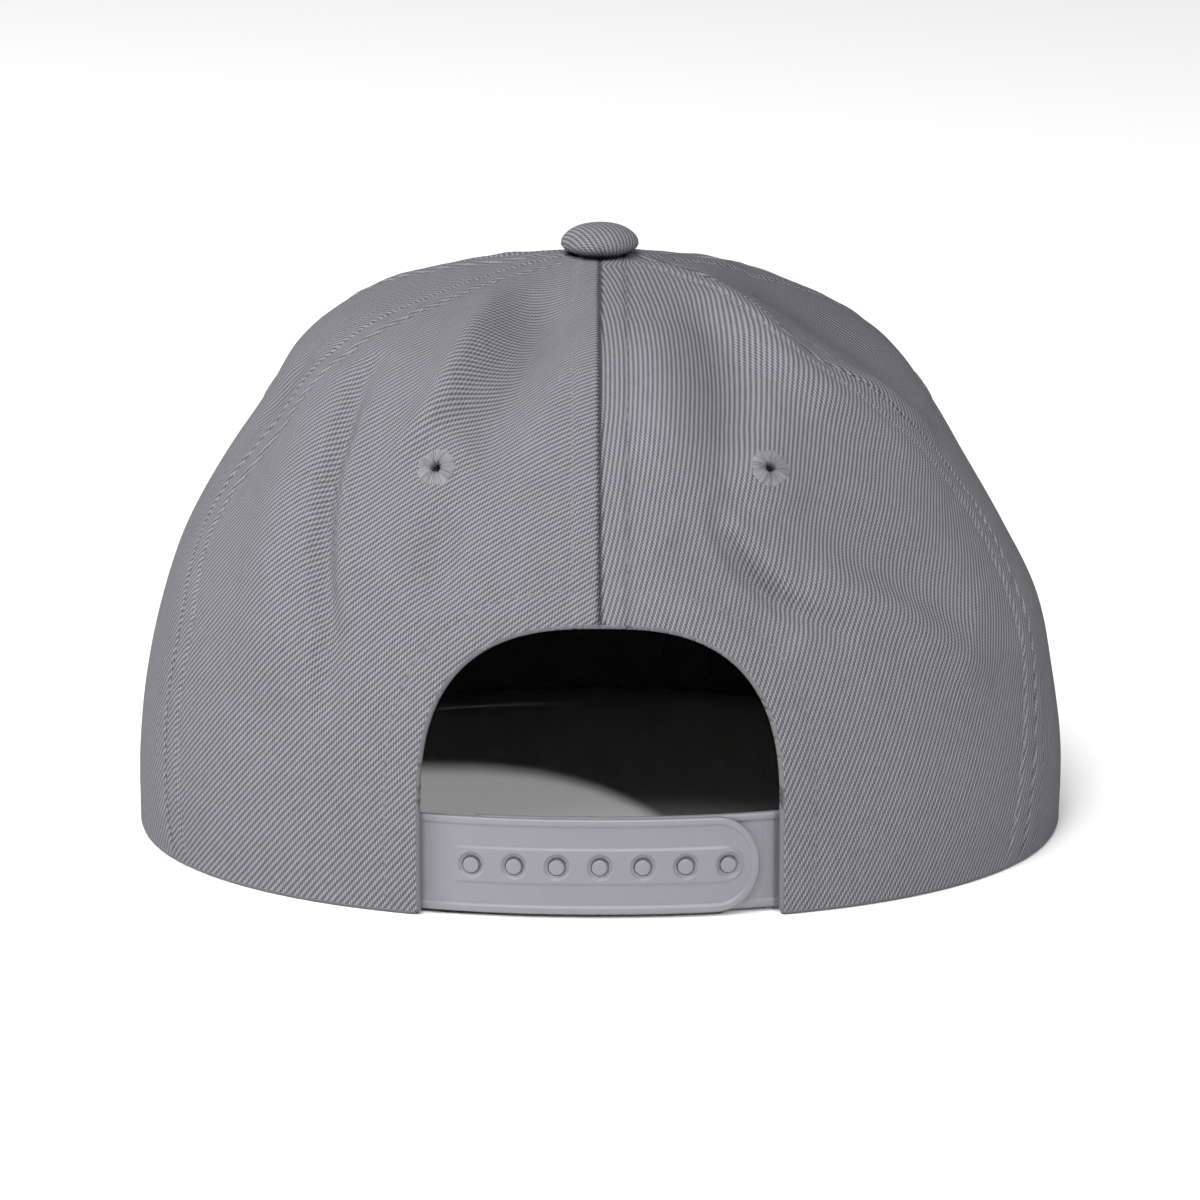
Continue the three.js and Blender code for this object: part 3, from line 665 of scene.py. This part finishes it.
def twill_material(name, dark, light):
    """Twill woven from the cloth coordinates, in millimetres: floats of warp over sunk weft."""
    material, tree, shader = new_material(name)
    place, across, up = cloth_place(tree)
    wander = noise(tree, place, 0.06)
    yarn = calc(tree, "DIVIDE", swing(tree, across, wander, 1.0), YARN_PITCH)
    yarn_index = calc(tree, "FLOOR", yarn)
    yarn_round = calc(tree, "SINE", calc(tree, "MULTIPLY", calc(tree, "FRACT", yarn), math.pi))
    yarn_round = calc(tree, "POWER", yarn_round, 0.7)
    woven = calc(tree, "DIVIDE", swing(tree, up, wander, 0.8), REPEAT * PICK_PITCH)
    woven = calc(tree, "SUBTRACT", woven, calc(tree, "DIVIDE", yarn_index, REPEAT))
    phase = calc(tree, "MULTIPLY", calc(tree, "FRACT", woven), math.pi / FLOAT_SHARE)
    warp = calc(tree, "POWER", calc(tree, "MAXIMUM", calc(tree, "SINE", phase), 0), 0.5)
    height = calc(tree, "MULTIPLY", warp, calc(tree, "ADD", calc(tree, "MULTIPLY", yarn_round, 0.8), 0.2))

    fibre = calc(tree, "MULTIPLY", noise(tree, place, 3.0, 4.0), FIBRE_TONE)
    mottle = noise(tree, place, 0.035, 3.0)
    thread = tree.nodes.new("ShaderNodeCombineXYZ")
    tree.links.new(yarn_index, thread.inputs["X"])
    tree.links.new(calc(tree, "FLOOR", woven), thread.inputs["Y"])
    dash = tree.nodes.new("ShaderNodeTexWhiteNoise")
    dash.noise_dimensions = "2D"
    tree.links.new(thread.outputs["Vector"], dash.inputs["Vector"])
    tone = calc(tree, "ADD", calc(tree, "MULTIPLY", height, HEIGHT_TONE), fibre)
    tone = swing(tree, tone, mottle, MOTTLE_TONE)
    tone = swing(tree, tone, dash.outputs["Value"], DASH_TONE)

    # Painted shade darkens the sunk yarns more than the floats
    painted_shade = tree.nodes.new("ShaderNodeAttribute")
    painted_shade.attribute_name = "painted_shade"
    sunk = calc(tree, "MULTIPLY", calc(tree, "SUBTRACT", 1.25, height), 1.8)
    tone = calc(tree, "SUBTRACT", tone, calc(tree, "MULTIPLY", painted_shade.outputs["Fac"], sunk))
    tree.links.new(blend(tree, tone, dark, light), shader.inputs["Base Color"])
    add_bump(tree, shader, height, 0.8, 0.18 * MM)
    shader.inputs["Roughness"].default_value = 0.92
    shader.inputs["Specular IOR Level"].default_value = 0.0
    shader.inputs["Sheen Weight"].default_value = 0.02
    return material


def plain_material(name, colour, roughness, grain_scale, grain_depth):
    material, tree, shader = new_material(name)
    place = tree.nodes.new("ShaderNodeTexCoord")
    grain = noise(tree, place.outputs["Object"], grain_scale, 3.0)
    darker = tuple(0.88 * c for c in colour)
    tree.links.new(blend(tree, grain, darker, colour), shader.inputs["Base Color"])
    add_bump(tree, shader, grain, 0.5, grain_depth)
    shader.inputs["Roughness"].default_value = roughness
    return material


def wound_material(name, dark, light):
    """Thread wound round an eyelet: the coordinates are turns and share of the radius."""
    material, tree, shader = new_material(name)
    place, turns, share = cloth_place(tree)
    strand = calc(tree, "ABSOLUTE", calc(tree, "SINE", calc(tree, "MULTIPLY", turns, math.pi)))
    uneven = noise(tree, place, 0.7, 3.0)
    outward = calc(tree, "MULTIPLY", share, 0.35)
    tone = calc(tree, "ADD", calc(tree, "MULTIPLY", strand, 0.55), outward)
    tone = swing(tree, tone, uneven, 1.6)
    tree.links.new(blend(tree, tone, dark, light), shader.inputs["Base Color"])
    add_bump(tree, shader, strand, 0.7, 0.15 * MM)
    shader.inputs["Roughness"].default_value = 0.85
    return material


CLOTH = twill_material("cloth_twill", (0.050, 0.0494, 0.0544), (0.223, 0.220, 0.239))
LINING = twill_material("lining_twill", (0.07, 0.07, 0.07), (0.11, 0.11, 0.11))
BAND = twill_material("band_twill", (0.06, 0.06, 0.06), (0.10, 0.10, 0.10))
FOLD_EDGE = plain_material("fold_edge", (0.105, 0.104, 0.112), 0.9, 700, 0.08 * MM)
WOUND = wound_material("eyelet_thread", (0.040, 0.040, 0.043), (0.195, 0.193, 0.209))
# Near black: painted shade at the bottom of the eyelets' holes
HOLE_SHADE = plain_material("hole_painted_shade", (0.006, 0.006, 0.006), 1.0, 900, 0.01 * MM)
THREAD = plain_material("thread", (0.135, 0.133, 0.144), 0.8, 900, 0.05 * MM)
PLASTIC = plain_material("strap_plastic", (0.168, 0.164, 0.181), 0.45, 300, 0.01 * MM)


def straight_seam(degrees):
    return lambda t: 0 * t + degrees


def side_seam(side):
    return lambda t: along(SIDE_SEAMS, side, t)


def crown_panels():
    """The six panels: seams, columns and rows, seed of the ripples, turn of the weave in degrees."""
    back, left_front, right_front = (straight_seam(degrees) for degrees in (0, FRONT_SEAM, -FRONT_SEAM))
    left, right = side_seam("left"), side_seam("right")
    return [
        Panel("panel_back_left", back, left, 140, 175, 11, -14),
        Panel("panel_back_right", right, back, 140, 175, 23, 4),
        Panel("panel_side_left", left, left_front, 100, 150, 31, 0),
        Panel("panel_side_right", right_front, right, 100, 150, 43, 0),
        Panel("panel_front_left", left_front, straight_seam(180), 90, 120, 53, 0),
        Panel("panel_front_right", straight_seam(-180), right_front, 90, 120, 67, 0),
    ]


def finish_piece(piece, node):
    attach(piece, "root")
    if node:
        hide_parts(node)


def stitch_row(points, normals):
    """Thread stitches along a line: their points and faces."""
    run = np.concatenate([[0], np.cumsum(np.linalg.norm(np.diff(points, axis=0), axis=-1))])
    starts = np.arange(0.6, run[-1] - STITCH_LENGTH, STITCH_PITCH)
    share = np.linspace(0, 1, STITCH_STEPS)
    arch = np.sin(math.pi * share)
    sides = np.linspace(0, 2 * math.pi, STITCH_SIDES, endpoint=False)
    around = np.arange(STITCH_SIDES)
    rings, faces = [], []
    for count, start in enumerate(starts):
        places = start + STITCH_LENGTH * share
        middle = np.stack([np.interp(places, run, points[:, k]) for k in range(3)], -1)
        up = unit(np.stack([np.interp(places, run, normals[:, k]) for k in range(3)], -1))
        side = unit(np.cross(up, unit(middle[-1] - middle[0])))
        middle = middle + up * (STITCH_RADIUS * (0.9 * arch - 0.4))[:, None]
        ring = side[:, None] * np.cos(sides)[:, None] * 1.1 + up[:, None] * np.sin(sides)[:, None] * 0.8
        radius = STITCH_RADIUS * (0.35 + 0.65 * arch ** 0.5)
        rings.append((middle[:, None] + ring * radius[:, None, None]).reshape(-1, 3))
        first = count * STITCH_STEPS * STITCH_SIDES
        for k in range(STITCH_STEPS - 1):
            a = first + STITCH_SIDES * k + around
            b = first + STITCH_SIDES * k + (around + 1) % STITCH_SIDES
            faces += np.stack([a, b, b + STITCH_SIDES, a + STITCH_SIDES], -1).tolist()
        last = first + (STITCH_STEPS - 1) * STITCH_SIDES
        faces += [(first + around[::-1]).tolist(), (last + around).tolist()]
    return np.concatenate(rings), faces


def stitches(name, rows):
    points, faces = [], []
    for row in rows:
        row_points, row_faces = stitch_row(*row)
        base = sum(len(p) for p in points)
        points.append(row_points)
        faces += [[base + k for k in face] for face in row_faces]
    finish_piece(add_mesh(name, np.concatenate(points), faces, [THREAD]), None)


def hem_path(side):
    """The line of the hem's stitches along one half of the back opening."""
    x, z = arch_outline(HEM_WIDTH).T
    half = (side * x > 1.2) & (z > 1.5)
    return back_place(x[half], z[half])


def dress_panel(panel):
    """A panel, and the stitches beside its seams and along the back opening."""
    finish_piece(panel.build([CLOTH, LINING, FOLD_EDGE]), panel.name)
    rows = []
    for from_stop in (False, True):
        phi, t = panel.beside(SEAM_BAND, from_stop)
        if "back" in panel.name:
            base = crown_base(phi, t)
            beside_arch = abs(phi[0]) < 40
            clear = arch_distance(base[:, 0], base[:, 2])[0] > (HEM_WIDTH + 0.6) * beside_arch
            phi, t = phi[clear], t[clear]
        rows.append(panel.surface(phi, t))
    if "back" in panel.name:
        rows.append(panel.surface(*hem_path(1 if "left" in panel.name else -1)))
    stitches(panel.name.replace("panel", "stitches"), rows)


def turned_piece(name, rings, materials, kinds, cloth=None):
    """Closed piece from rings of points, one after another, its two ends closed by fans."""
    count, around = rings.shape[:2]
    index = np.arange(count * around).reshape(count, around)
    after = np.roll(index, -1, 1)
    sides = np.stack([index[:-1], after[:-1], after[1:], index[1:]], -1).reshape(-1, 4)
    faces = [*sides.tolist(), index[0, ::-1].tolist(), index[-1].tolist()]
    kind = np.concatenate([np.repeat(kinds[:-1], around), [kinds[0], kinds[-1]]])
    return add_mesh(name, rings.reshape(-1, 3), faces, materials, cloth, kind)


def seat_frame(phi, t):
    seat, normal = crown_base(phi, t), crown_normal(phi, t)
    aside = unit(np.cross([0.0, 0.0, 1.0], normal))
    return seat, normal, aside, np.cross(normal, aside)


# Eyelet, sewn over its hole: radius and height as shares of the eyelet's radius
EYELET_PROFILE = [
    (0.00, -0.34), (0.17, -0.34), (0.21, -0.20), (0.25, -0.04), (0.30, 0.050), (0.40, 0.085), (0.55, 0.095),
    (0.70, 0.085), (0.82, 0.060), (0.92, 0.030), (1.00, -0.03), (0.98, -0.14), (0.50, -0.42), (0.02, -0.46),
]


def eyelet(name, spot, seed):
    seat, normal, aside, upward = seat_frame(*spot)
    angle = np.linspace(0, 2 * math.pi, 4 * EYELET_THREADS, endpoint=False)
    radius, height = (EYELET_RADIUS * np.array(column)[:, None] for column in zip(*EYELET_PROFILE))
    share = radius / EYELET_RADIUS
    dice = np.random.default_rng(seed)
    uneven = sum(dice.uniform(0.2, 1) * np.sin(k * angle + dice.uniform(0, 6)) for k in (3, 5, 8, 13))
    thread = np.abs(np.sin(angle * EYELET_THREADS / 2 + 0.3 * uneven))
    middle = smoothstep(0.2, 0.35, share)
    ragged = RIM_UNEVEN * middle + HOLE_UNEVEN * (1 - middle) * (share > 0.1)
    reach = radius * (1 + ragged * uneven)
    lift = height + EYELET_THREAD_RISE * (thread - 0.6) * middle - reach ** 2 / (2 * HALF_WIDTH)
    points = seat + np.stack(np.broadcast_arrays(*(
        reach * (np.cos(angle) * a + np.sin(angle) * b) + lift * n
        for a, b, n in zip(aside, upward, normal)
    )), -1)
    # The bottom of the hole is painted near black: painted shade for the hole's depth
    kinds = (np.arange(len(share)) < 2).astype(np.int32)
    turns = np.broadcast_to(angle / (2 * math.pi) * EYELET_THREADS, points.shape[:2])
    cloth = np.stack([turns, np.broadcast_to(share, turns.shape)], -1).reshape(-1, 2)
    finish_piece(turned_piece(name, points, [WOUND, HOLE_SHADE], kinds, cloth), name)


# Covered button: radius and height as shares of its driving sizes, top first
BUTTON = table("t radius height", [
    (0.00, 0.00, 1.000),
    (0.10, 0.25, 0.985),
    (0.20, 0.48, 0.930),
    (0.30, 0.69, 0.820),
    (0.40, 0.86, 0.660),
    (0.50, 0.965, 0.480),
    (0.60, 1.00, 0.310),
    (0.70, 0.97, 0.170),
    (0.80, 0.85, 0.030),
    (0.90, 0.55, -0.110),
    (1.00, 0.03, -0.160),
])


def button():
    places = np.linspace(0.004, 1, 60)
    angle = np.linspace(0, 2 * math.pi, 120, endpoint=False)
    radius = BUTTON_RADIUS * along(BUTTON, "radius", places)[:, None]
    height = BUTTON_HEIGHT * along(BUTTON, "height", places)[:, None]
    run = np.concatenate([[0], np.cumsum(np.hypot(np.diff(radius[:, 0]), np.diff(height[:, 0])))])[:, None]
    radius = radius * (1 + 0.008 * np.sin(3 * angle + 1) + 0.006 * np.sin(7 * angle))
    base = crown_base(0.0, 1.0)
    points = np.stack(np.broadcast_arrays(
        radius * np.cos(angle), radius * np.sin(angle) + base[1], height + base[2],
    ), -1)
    turn = math.radians(BUTTON_TURN)
    cloth = np.stack([run * np.cos(angle + turn), run * np.sin(angle + turn)], -1).reshape(-1, 2)
    kinds = np.zeros(len(places), np.int32)
    finish_piece(turned_piece("button", points, [CLOTH], kinds, cloth), "button")


# Visor: a plate from the front rim to a squarish outer edge, rising with the rim
VISOR_BACK = crown_base(FRONT_SEAM, 0.0)[1] - VISOR_EAR


def visor_edge(share):
    angle = share * math.pi / 2
    power = 2 / VISOR_SQUARENESS
    x = -np.sign(angle) * VISOR_HALF_WIDTH * np.abs(np.sin(angle)) ** power
    y = VISOR_BACK - (FRONT_DEPTH + VISOR_REACH + VISOR_BACK) * np.cos(angle).clip(0) ** power
    return np.stack([x, y], -1)


def visor_height(x):
    return np.maximum(RIM_LIFT * (1 - (x / VISOR_HALF_WIDTH) ** 2), 0)


def visor_root(share):
    phi = 180 + share * (180 - FRONT_SEAM)
    flat = crown_normal(phi, 0 * phi)[..., :2]
    return crown_base(phi, 0 * phi)[..., :2] + 0.3 * unit(flat)


def visor_plate(outline):
    share = np.linspace(-1, 1, 261)[:, None]
    reach = np.linspace(0, 1, 121)[None, :]
    root, edge = visor_root(share), visor_edge(share)
    spots = root * (1 - reach[..., None]) + edge * reach[..., None]
    parts = np.array_split(spots.reshape(-1, 1, 2), 60)
    inward = np.concatenate([np.linalg.norm(part - outline[None], axis=-1).min(1) for part in parts])
    inward = inward.reshape(spots.shape[:2])
    rows = VISOR_ROW_START + VISOR_ROW_PITCH * np.arange(VISOR_ROWS)
    groove = VISOR_GROOVE * sum(mound(inward - row, VISOR_GROOVE_WIDTH) for row in rows)
    base = visor_height(spots[..., 0])
    thin = VISOR_THIN * VISOR_THICKNESS * smoothstep(0.94, 1, reach)
    top = base + VISOR_THICKNESS - groove - thin
    bottom = base + groove + thin
    sheets = [np.concatenate([spots, z[..., None]], -1) for z in (top, bottom)]
    keep = np.ones((len(share) - 1, reach.size - 1), bool)
    rolled = np.broadcast_to(reach == 1, spots.shape[:2])
    piece = shell("visor", *sheets, keep, rolled, spots, [CLOTH, CLOTH, FOLD_EDGE])
    finish_piece(piece, "visor")


def visor_stitches(outline):
    """Rows of stitches inside the outer edge, on both faces, up to the crown."""
    upward = np.array([0.0, 0.0, 1.0])
    crown_line = crown_base(np.linspace(180, 91, 200), np.zeros(200))
    heading = unit(np.gradient(outline, axis=0))
    inside = np.stack([-heading[:, 1], heading[:, 0]], -1)
    if inside[len(inside) // 2, 1] < 0:
        inside = -inside
    rows = []
    for k in range(VISOR_ROWS):
        line = outline + inside * (VISOR_ROW_START + k * VISOR_ROW_PITCH)
        across = np.interp(line[:, 1], crown_line[:, 1], crown_line[:, 0])
        clear = (np.abs(line[:, 0]) > across + 2) & (np.abs(line[:, 0]) < VISOR_HALF_WIDTH - 4)
        for half in (clear & (line[:, 0] > 0), clear & (line[:, 0] <= 0)):
            spots = line[half]
            if len(spots) < 12:
                continue
            low = visor_height(spots[:, 0])[:, None]
            high = low + VISOR_THICKNESS - VISOR_GROOVE
            for z, up in ((high, upward), (low + VISOR_GROOVE, -upward)):
                rows.append((np.concatenate([spots, z], -1), np.broadcast_to(up, (len(spots), 3))))
    stitches("stitches_visor", rows)


def visor():
    outline = visor_edge(np.linspace(-1, 1, 801))
    visor_plate(outline)
    visor_stitches(outline)


def sweatband():
    """The band inside the rim, deeper behind the strap ends."""
    start = np.degrees(np.arcsin((ARCH_HALF_WIDTH + BAND_GAP) / HALF_WIDTH))
    tuck = np.degrees(np.arcsin((ARCH_HALF_WIDTH + STRAP_TUCK) / HALF_WIDTH))
    phi = np.linspace(start, 360 - start, 321)[:, None]
    from_back = np.minimum(phi, 360 - phi)
    depth = BAND_INSET + STRAP_STACK * (1 - smoothstep(tuck + 3, tuck + 18, from_back))
    t = np.linspace(0.01, rim_share(BAND_HEIGHT), 25)[None, :]
    phi = np.where(phi > 180, phi - 360, phi)
    phi, t, depth = np.broadcast_arrays(phi, t, depth)
    lift = rim_lift(phi) * (1 - smoothstep(0, 0.3, t))
    base, normal = crown_base(phi, t), crown_normal(phi, t)
    wave = BAND_WAVE * ripple(phi * 1.6, 71) * t / t.max()
    sheets = [base - normal * (depth + extra + wave)[..., None] for extra in (0, BAND_THICKNESS)]
    for sheet in sheets:
        sheet[..., 2] += lift
    run = np.concatenate([[0], np.cumsum(np.linalg.norm(np.diff(base[:, 0], axis=0), axis=-1))])
    cloth = np.stack(np.broadcast_arrays(run[:, None], base[..., 2]), -1)
    keep = np.ones((phi.shape[0] - 1, phi.shape[1] - 1), bool)
    piece = shell("sweatband", *sheets, keep, np.ones(phi.shape, bool), cloth, [BAND])
    finish_piece(piece, "sweatband")


# Strap ends, worked out flat in x, height and distance behind the crown's outer face
PEG_PLACES = (np.arange(PEG_COUNT) - (PEG_COUNT - 1) / 2) * PEG_PITCH
STRAP_MIDDLE = STRAP_FOOT + STRAP_HEIGHT / 2


def along_back(x, z, depth):
    """Points of a strap bent along the back of the rim."""
    t = rim_share(z)
    across = HALF_WIDTH * along(SECTIONS, "left", t)
    deep = BACK_DEPTH * along(SECTIONS, "back", t)
    share = np.abs(x) / across
    y = deep * (1 - share ** ROUNDNESS) ** (1 / ROUNDNESS)
    slope = unit(np.stack([
        np.sign(x) * share ** (ROUNDNESS - 1) / across,
        (y / deep) ** (ROUNDNESS - 1) / deep,
    ], -1))
    lean = CROWN_LEAN * along(SECTIONS, "lean", t)
    return np.stack([x - slope[..., 0] * depth, y - slope[..., 1] * depth - lean, z], -1)


def strap_grid(tail, tip):
    """Grid of x and height over a tongue with a rounded tip, and the distance inside its edge."""
    side = math.copysign(1, tail - tip)
    straight = np.arange(0, abs(tail - tip) - STRAP_NOSE, STRAP_STEP)
    angle = np.radians(np.linspace(0, 84, 44))
    run = np.concatenate([straight, abs(tail - tip) - STRAP_NOSE + STRAP_NOSE * np.sin(angle)])
    half = np.concatenate([np.ones(len(straight)), np.cos(angle)]) * STRAP_HEIGHT / 2
    up = np.linspace(-1, 1, int(STRAP_HEIGHT / STRAP_STEP) + 1)
    x = np.broadcast_to((tail - side * run)[:, None], (len(run), len(up)))
    z = STRAP_MIDDLE + half[:, None] * up
    nose = np.maximum(run - (abs(tail - tip) - STRAP_NOSE), 0)[:, None] / STRAP_NOSE
    rise = (z - STRAP_MIDDLE) / (STRAP_HEIGHT / 2)
    level = np.sqrt(nose ** 2 + rise ** 2)
    slope = np.sqrt((nose / STRAP_NOSE) ** 2 + (rise / (STRAP_HEIGHT / 2)) ** 2) / np.maximum(level, 1e-6)
    return x.copy(), z, (1 - level) / np.maximum(slope, 1e-6)


def strap_face(x, inside, lines):
    """Share of the sunk field inside the raised rim, and the extra depth at the edge and fine lines."""
    field = smoothstep(STRAP_RIM_WIDTH - 0.15, STRAP_RIM_WIDTH + 0.15, inside)
    edge = STRAP_EDGE_DROP * (1 - smoothstep(0, STRAP_EDGE_WIDTH, inside))
    return field, edge - LINE_DEPTH * field * sum(mound(x - place, LINE_WIDTH) for place in lines)


def strap_end(name, x, z, depth, back):
    outer, inner = along_back(x, z, depth), along_back(x, z, back)
    keep = np.ones((x.shape[0] - 1, x.shape[1] - 1), bool)
    cloth = np.stack([x, z], -1)
    piece = shell(name, outer, inner, keep, np.zeros(x.shape, bool), cloth, [PLASTIC])
    finish_piece(piece, name)


def over_strap():
    """The outer strap end, with a raised plateau that holds the row of sunk holes."""
    x, z, inside = strap_grid(ARCH_HALF_WIDTH + STRAP_TUCK, -STRAP_TIP)
    rings = np.array([HOLE_RADIUS, HOLE_RADIUS + 0.1, SINK_RADIUS, SINK_RADIUS + 0.15])
    hole = np.full(x.shape, np.inf)
    for place in PEG_PLACES:
        away = np.hypot(x - place, z - STRAP_MIDDLE)
        nearest = rings[np.abs(away[..., None] - rings).argmin(-1)]
        snap = np.abs(away - nearest) < STRAP_STEP * 0.55
        pull = np.where(snap, nearest / np.maximum(away, 1e-6), 1)
        x = place + (x - place) * pull
        z = STRAP_MIDDLE + (z - STRAP_MIDDLE) * pull
        hole = np.minimum(hole, away * pull)
    round_end = (-x - (RIDGE_HALF_LENGTH - RIDGE_HALF_HEIGHT)).clip(0)
    ridge = np.hypot(round_end, z - STRAP_MIDDLE) - RIDGE_HALF_HEIGHT
    ridge = np.maximum(ridge, x - RIDGE_HALF_LENGTH)
    plateau = 1 - smoothstep(-0.12, 0.12, ridge)
    field, extra = strap_face(x, inside, [])
    depth = STRAP_DEPTH + STRAP_RIM * field * (1 - 0.8 * plateau) + extra
    line = mound(x - STRAP_LINE, LINE_WIDTH) * (np.abs(z - STRAP_MIDDLE) < 6.5)
    depth = depth - LINE_DEPTH * line * field
    depth = np.where(hole < SINK_RADIUS + 0.02, STRAP_DEPTH + STRAP_RIM + SINK_DEPTH, depth)
    depth = np.where(hole < HOLE_RADIUS + 0.02, STRAP_DEPTH + 0.9 * STRAP_THICKNESS, depth)
    strap_end("strap_left", x, z, depth, STRAP_DEPTH + STRAP_THICKNESS)


def under_strap():
    """The inner strap end, plain but for two fine lines."""
    x, z, inside = strap_grid(-ARCH_HALF_WIDTH - STRAP_TUCK, STRAP_TIP)
    field, extra = strap_face(x, inside, [0.9 - STRAP_LINE, -STRAP_LINE - 1.2])
    depth = UNDER_DEPTH + STRAP_RIM * field + extra
    strap_end("strap_right", x, z, depth, UNDER_DEPTH + STRAP_THICKNESS)


# Peg, top first: share of its radius and drop in millimetres
PEG_PROFILE = [
    (0.05, 0.0), (0.80, 0.01), (0.93, 0.04), (0.98, 0.10), (1.00, 0.22), (1.00, 1.6), (0.05, 1.6),
]


def pegs():
    """Round-topped pegs of the lower strap end, seen in the upper one's holes."""
    angle = np.linspace(0, 2 * math.pi, 48, endpoint=False)
    for number, place in enumerate(PEG_PLACES):
        rings = []
        for share, drop in PEG_PROFILE:
            x = place + PEG_SHIFT + PEG_RADIUS * share * np.cos(angle)
            z = STRAP_MIDDLE - PEG_SINK + PEG_RADIUS * share * np.sin(angle)
            rings.append(along_back(x, z, STRAP_DEPTH + PEG_TOP + drop + 0 * x))
        kinds = np.zeros(len(PEG_PROFILE), np.int32)
        name = "peg_%d" % (number + 1)
        finish_piece(turned_piece(name, np.array(rings), [PLASTIC], kinds), None)


for panel in crown_panels():
    dress_panel(panel)
for number, (name, spot) in enumerate(EYELETS.items()):
    eyelet(name, spot, 100 + number)
button()
visor()
sweatband()
over_strap()
under_strap()
pegs()

# Floor, light and camera
ELEVATION = math.radians(15)
DISTANCE = 1.5
TARGET_HEIGHT = 46.6 * MM
TARGET = Vector(SHIFT) + Vector((0, 0, TARGET_HEIGHT))
LENS = 212.4
SENSOR = 36


def aim(item, place, target):
    item.location = place
    item.rotation_euler = (target - place).to_track_quat("-Z", "Y").to_euler()
    bpy.context.scene.collection.objects.link(item)


def area_light(name, place, size, power):
    light = bpy.data.lights.new(name, "AREA")
    light.shape = "DISK"
    light.size = size
    light.energy = power
    lamp = bpy.data.objects.new(name, light)
    aim(lamp, TARGET + Vector(place), TARGET)


camera_data = bpy.data.cameras.new("camera")
camera_data.lens = LENS
camera_data.sensor_width = SENSOR
camera = bpy.data.objects.new("camera", camera_data)
aim(camera, TARGET + DISTANCE * Vector((0, math.cos(ELEVATION), math.sin(ELEVATION))), TARGET)
bpy.context.scene.camera = camera

# Lights: place from the target in metres, size in metres and power in watts
area_light("key", (2.1, 0.5, 0.8), 0.9, 38)
area_light("overhead", (0.5, 0.55, 2.05), 1.8, 42)
area_light("high_back", (0.3, 1.5, 1.5), 0.8, 20)
area_light("low_fill", (-0.73, 2.18, 1.22), 0.14, 39)

world = bpy.data.worlds.new("studio")
world.use_nodes = True
world.node_tree.nodes["Background"].inputs["Color"].default_value = (1, 1, 1, 1)
world.node_tree.nodes["Background"].inputs["Strength"].default_value = 0.2
bpy.context.scene.world = world
bpy.context.scene.view_settings.view_transform = "Standard"

floor_material, _, floor_shader = new_material("floor")
floor_shader.inputs["Base Color"].default_value = (0.9, 0.9, 0.9, 1)
floor_shader.inputs["Roughness"].default_value = 0.9
bpy.ops.mesh.primitive_plane_add(size=12, location=(0, 0, 0))
floor = bpy.context.object
floor.name = "floor"
floor.data.materials.append(floor_material)
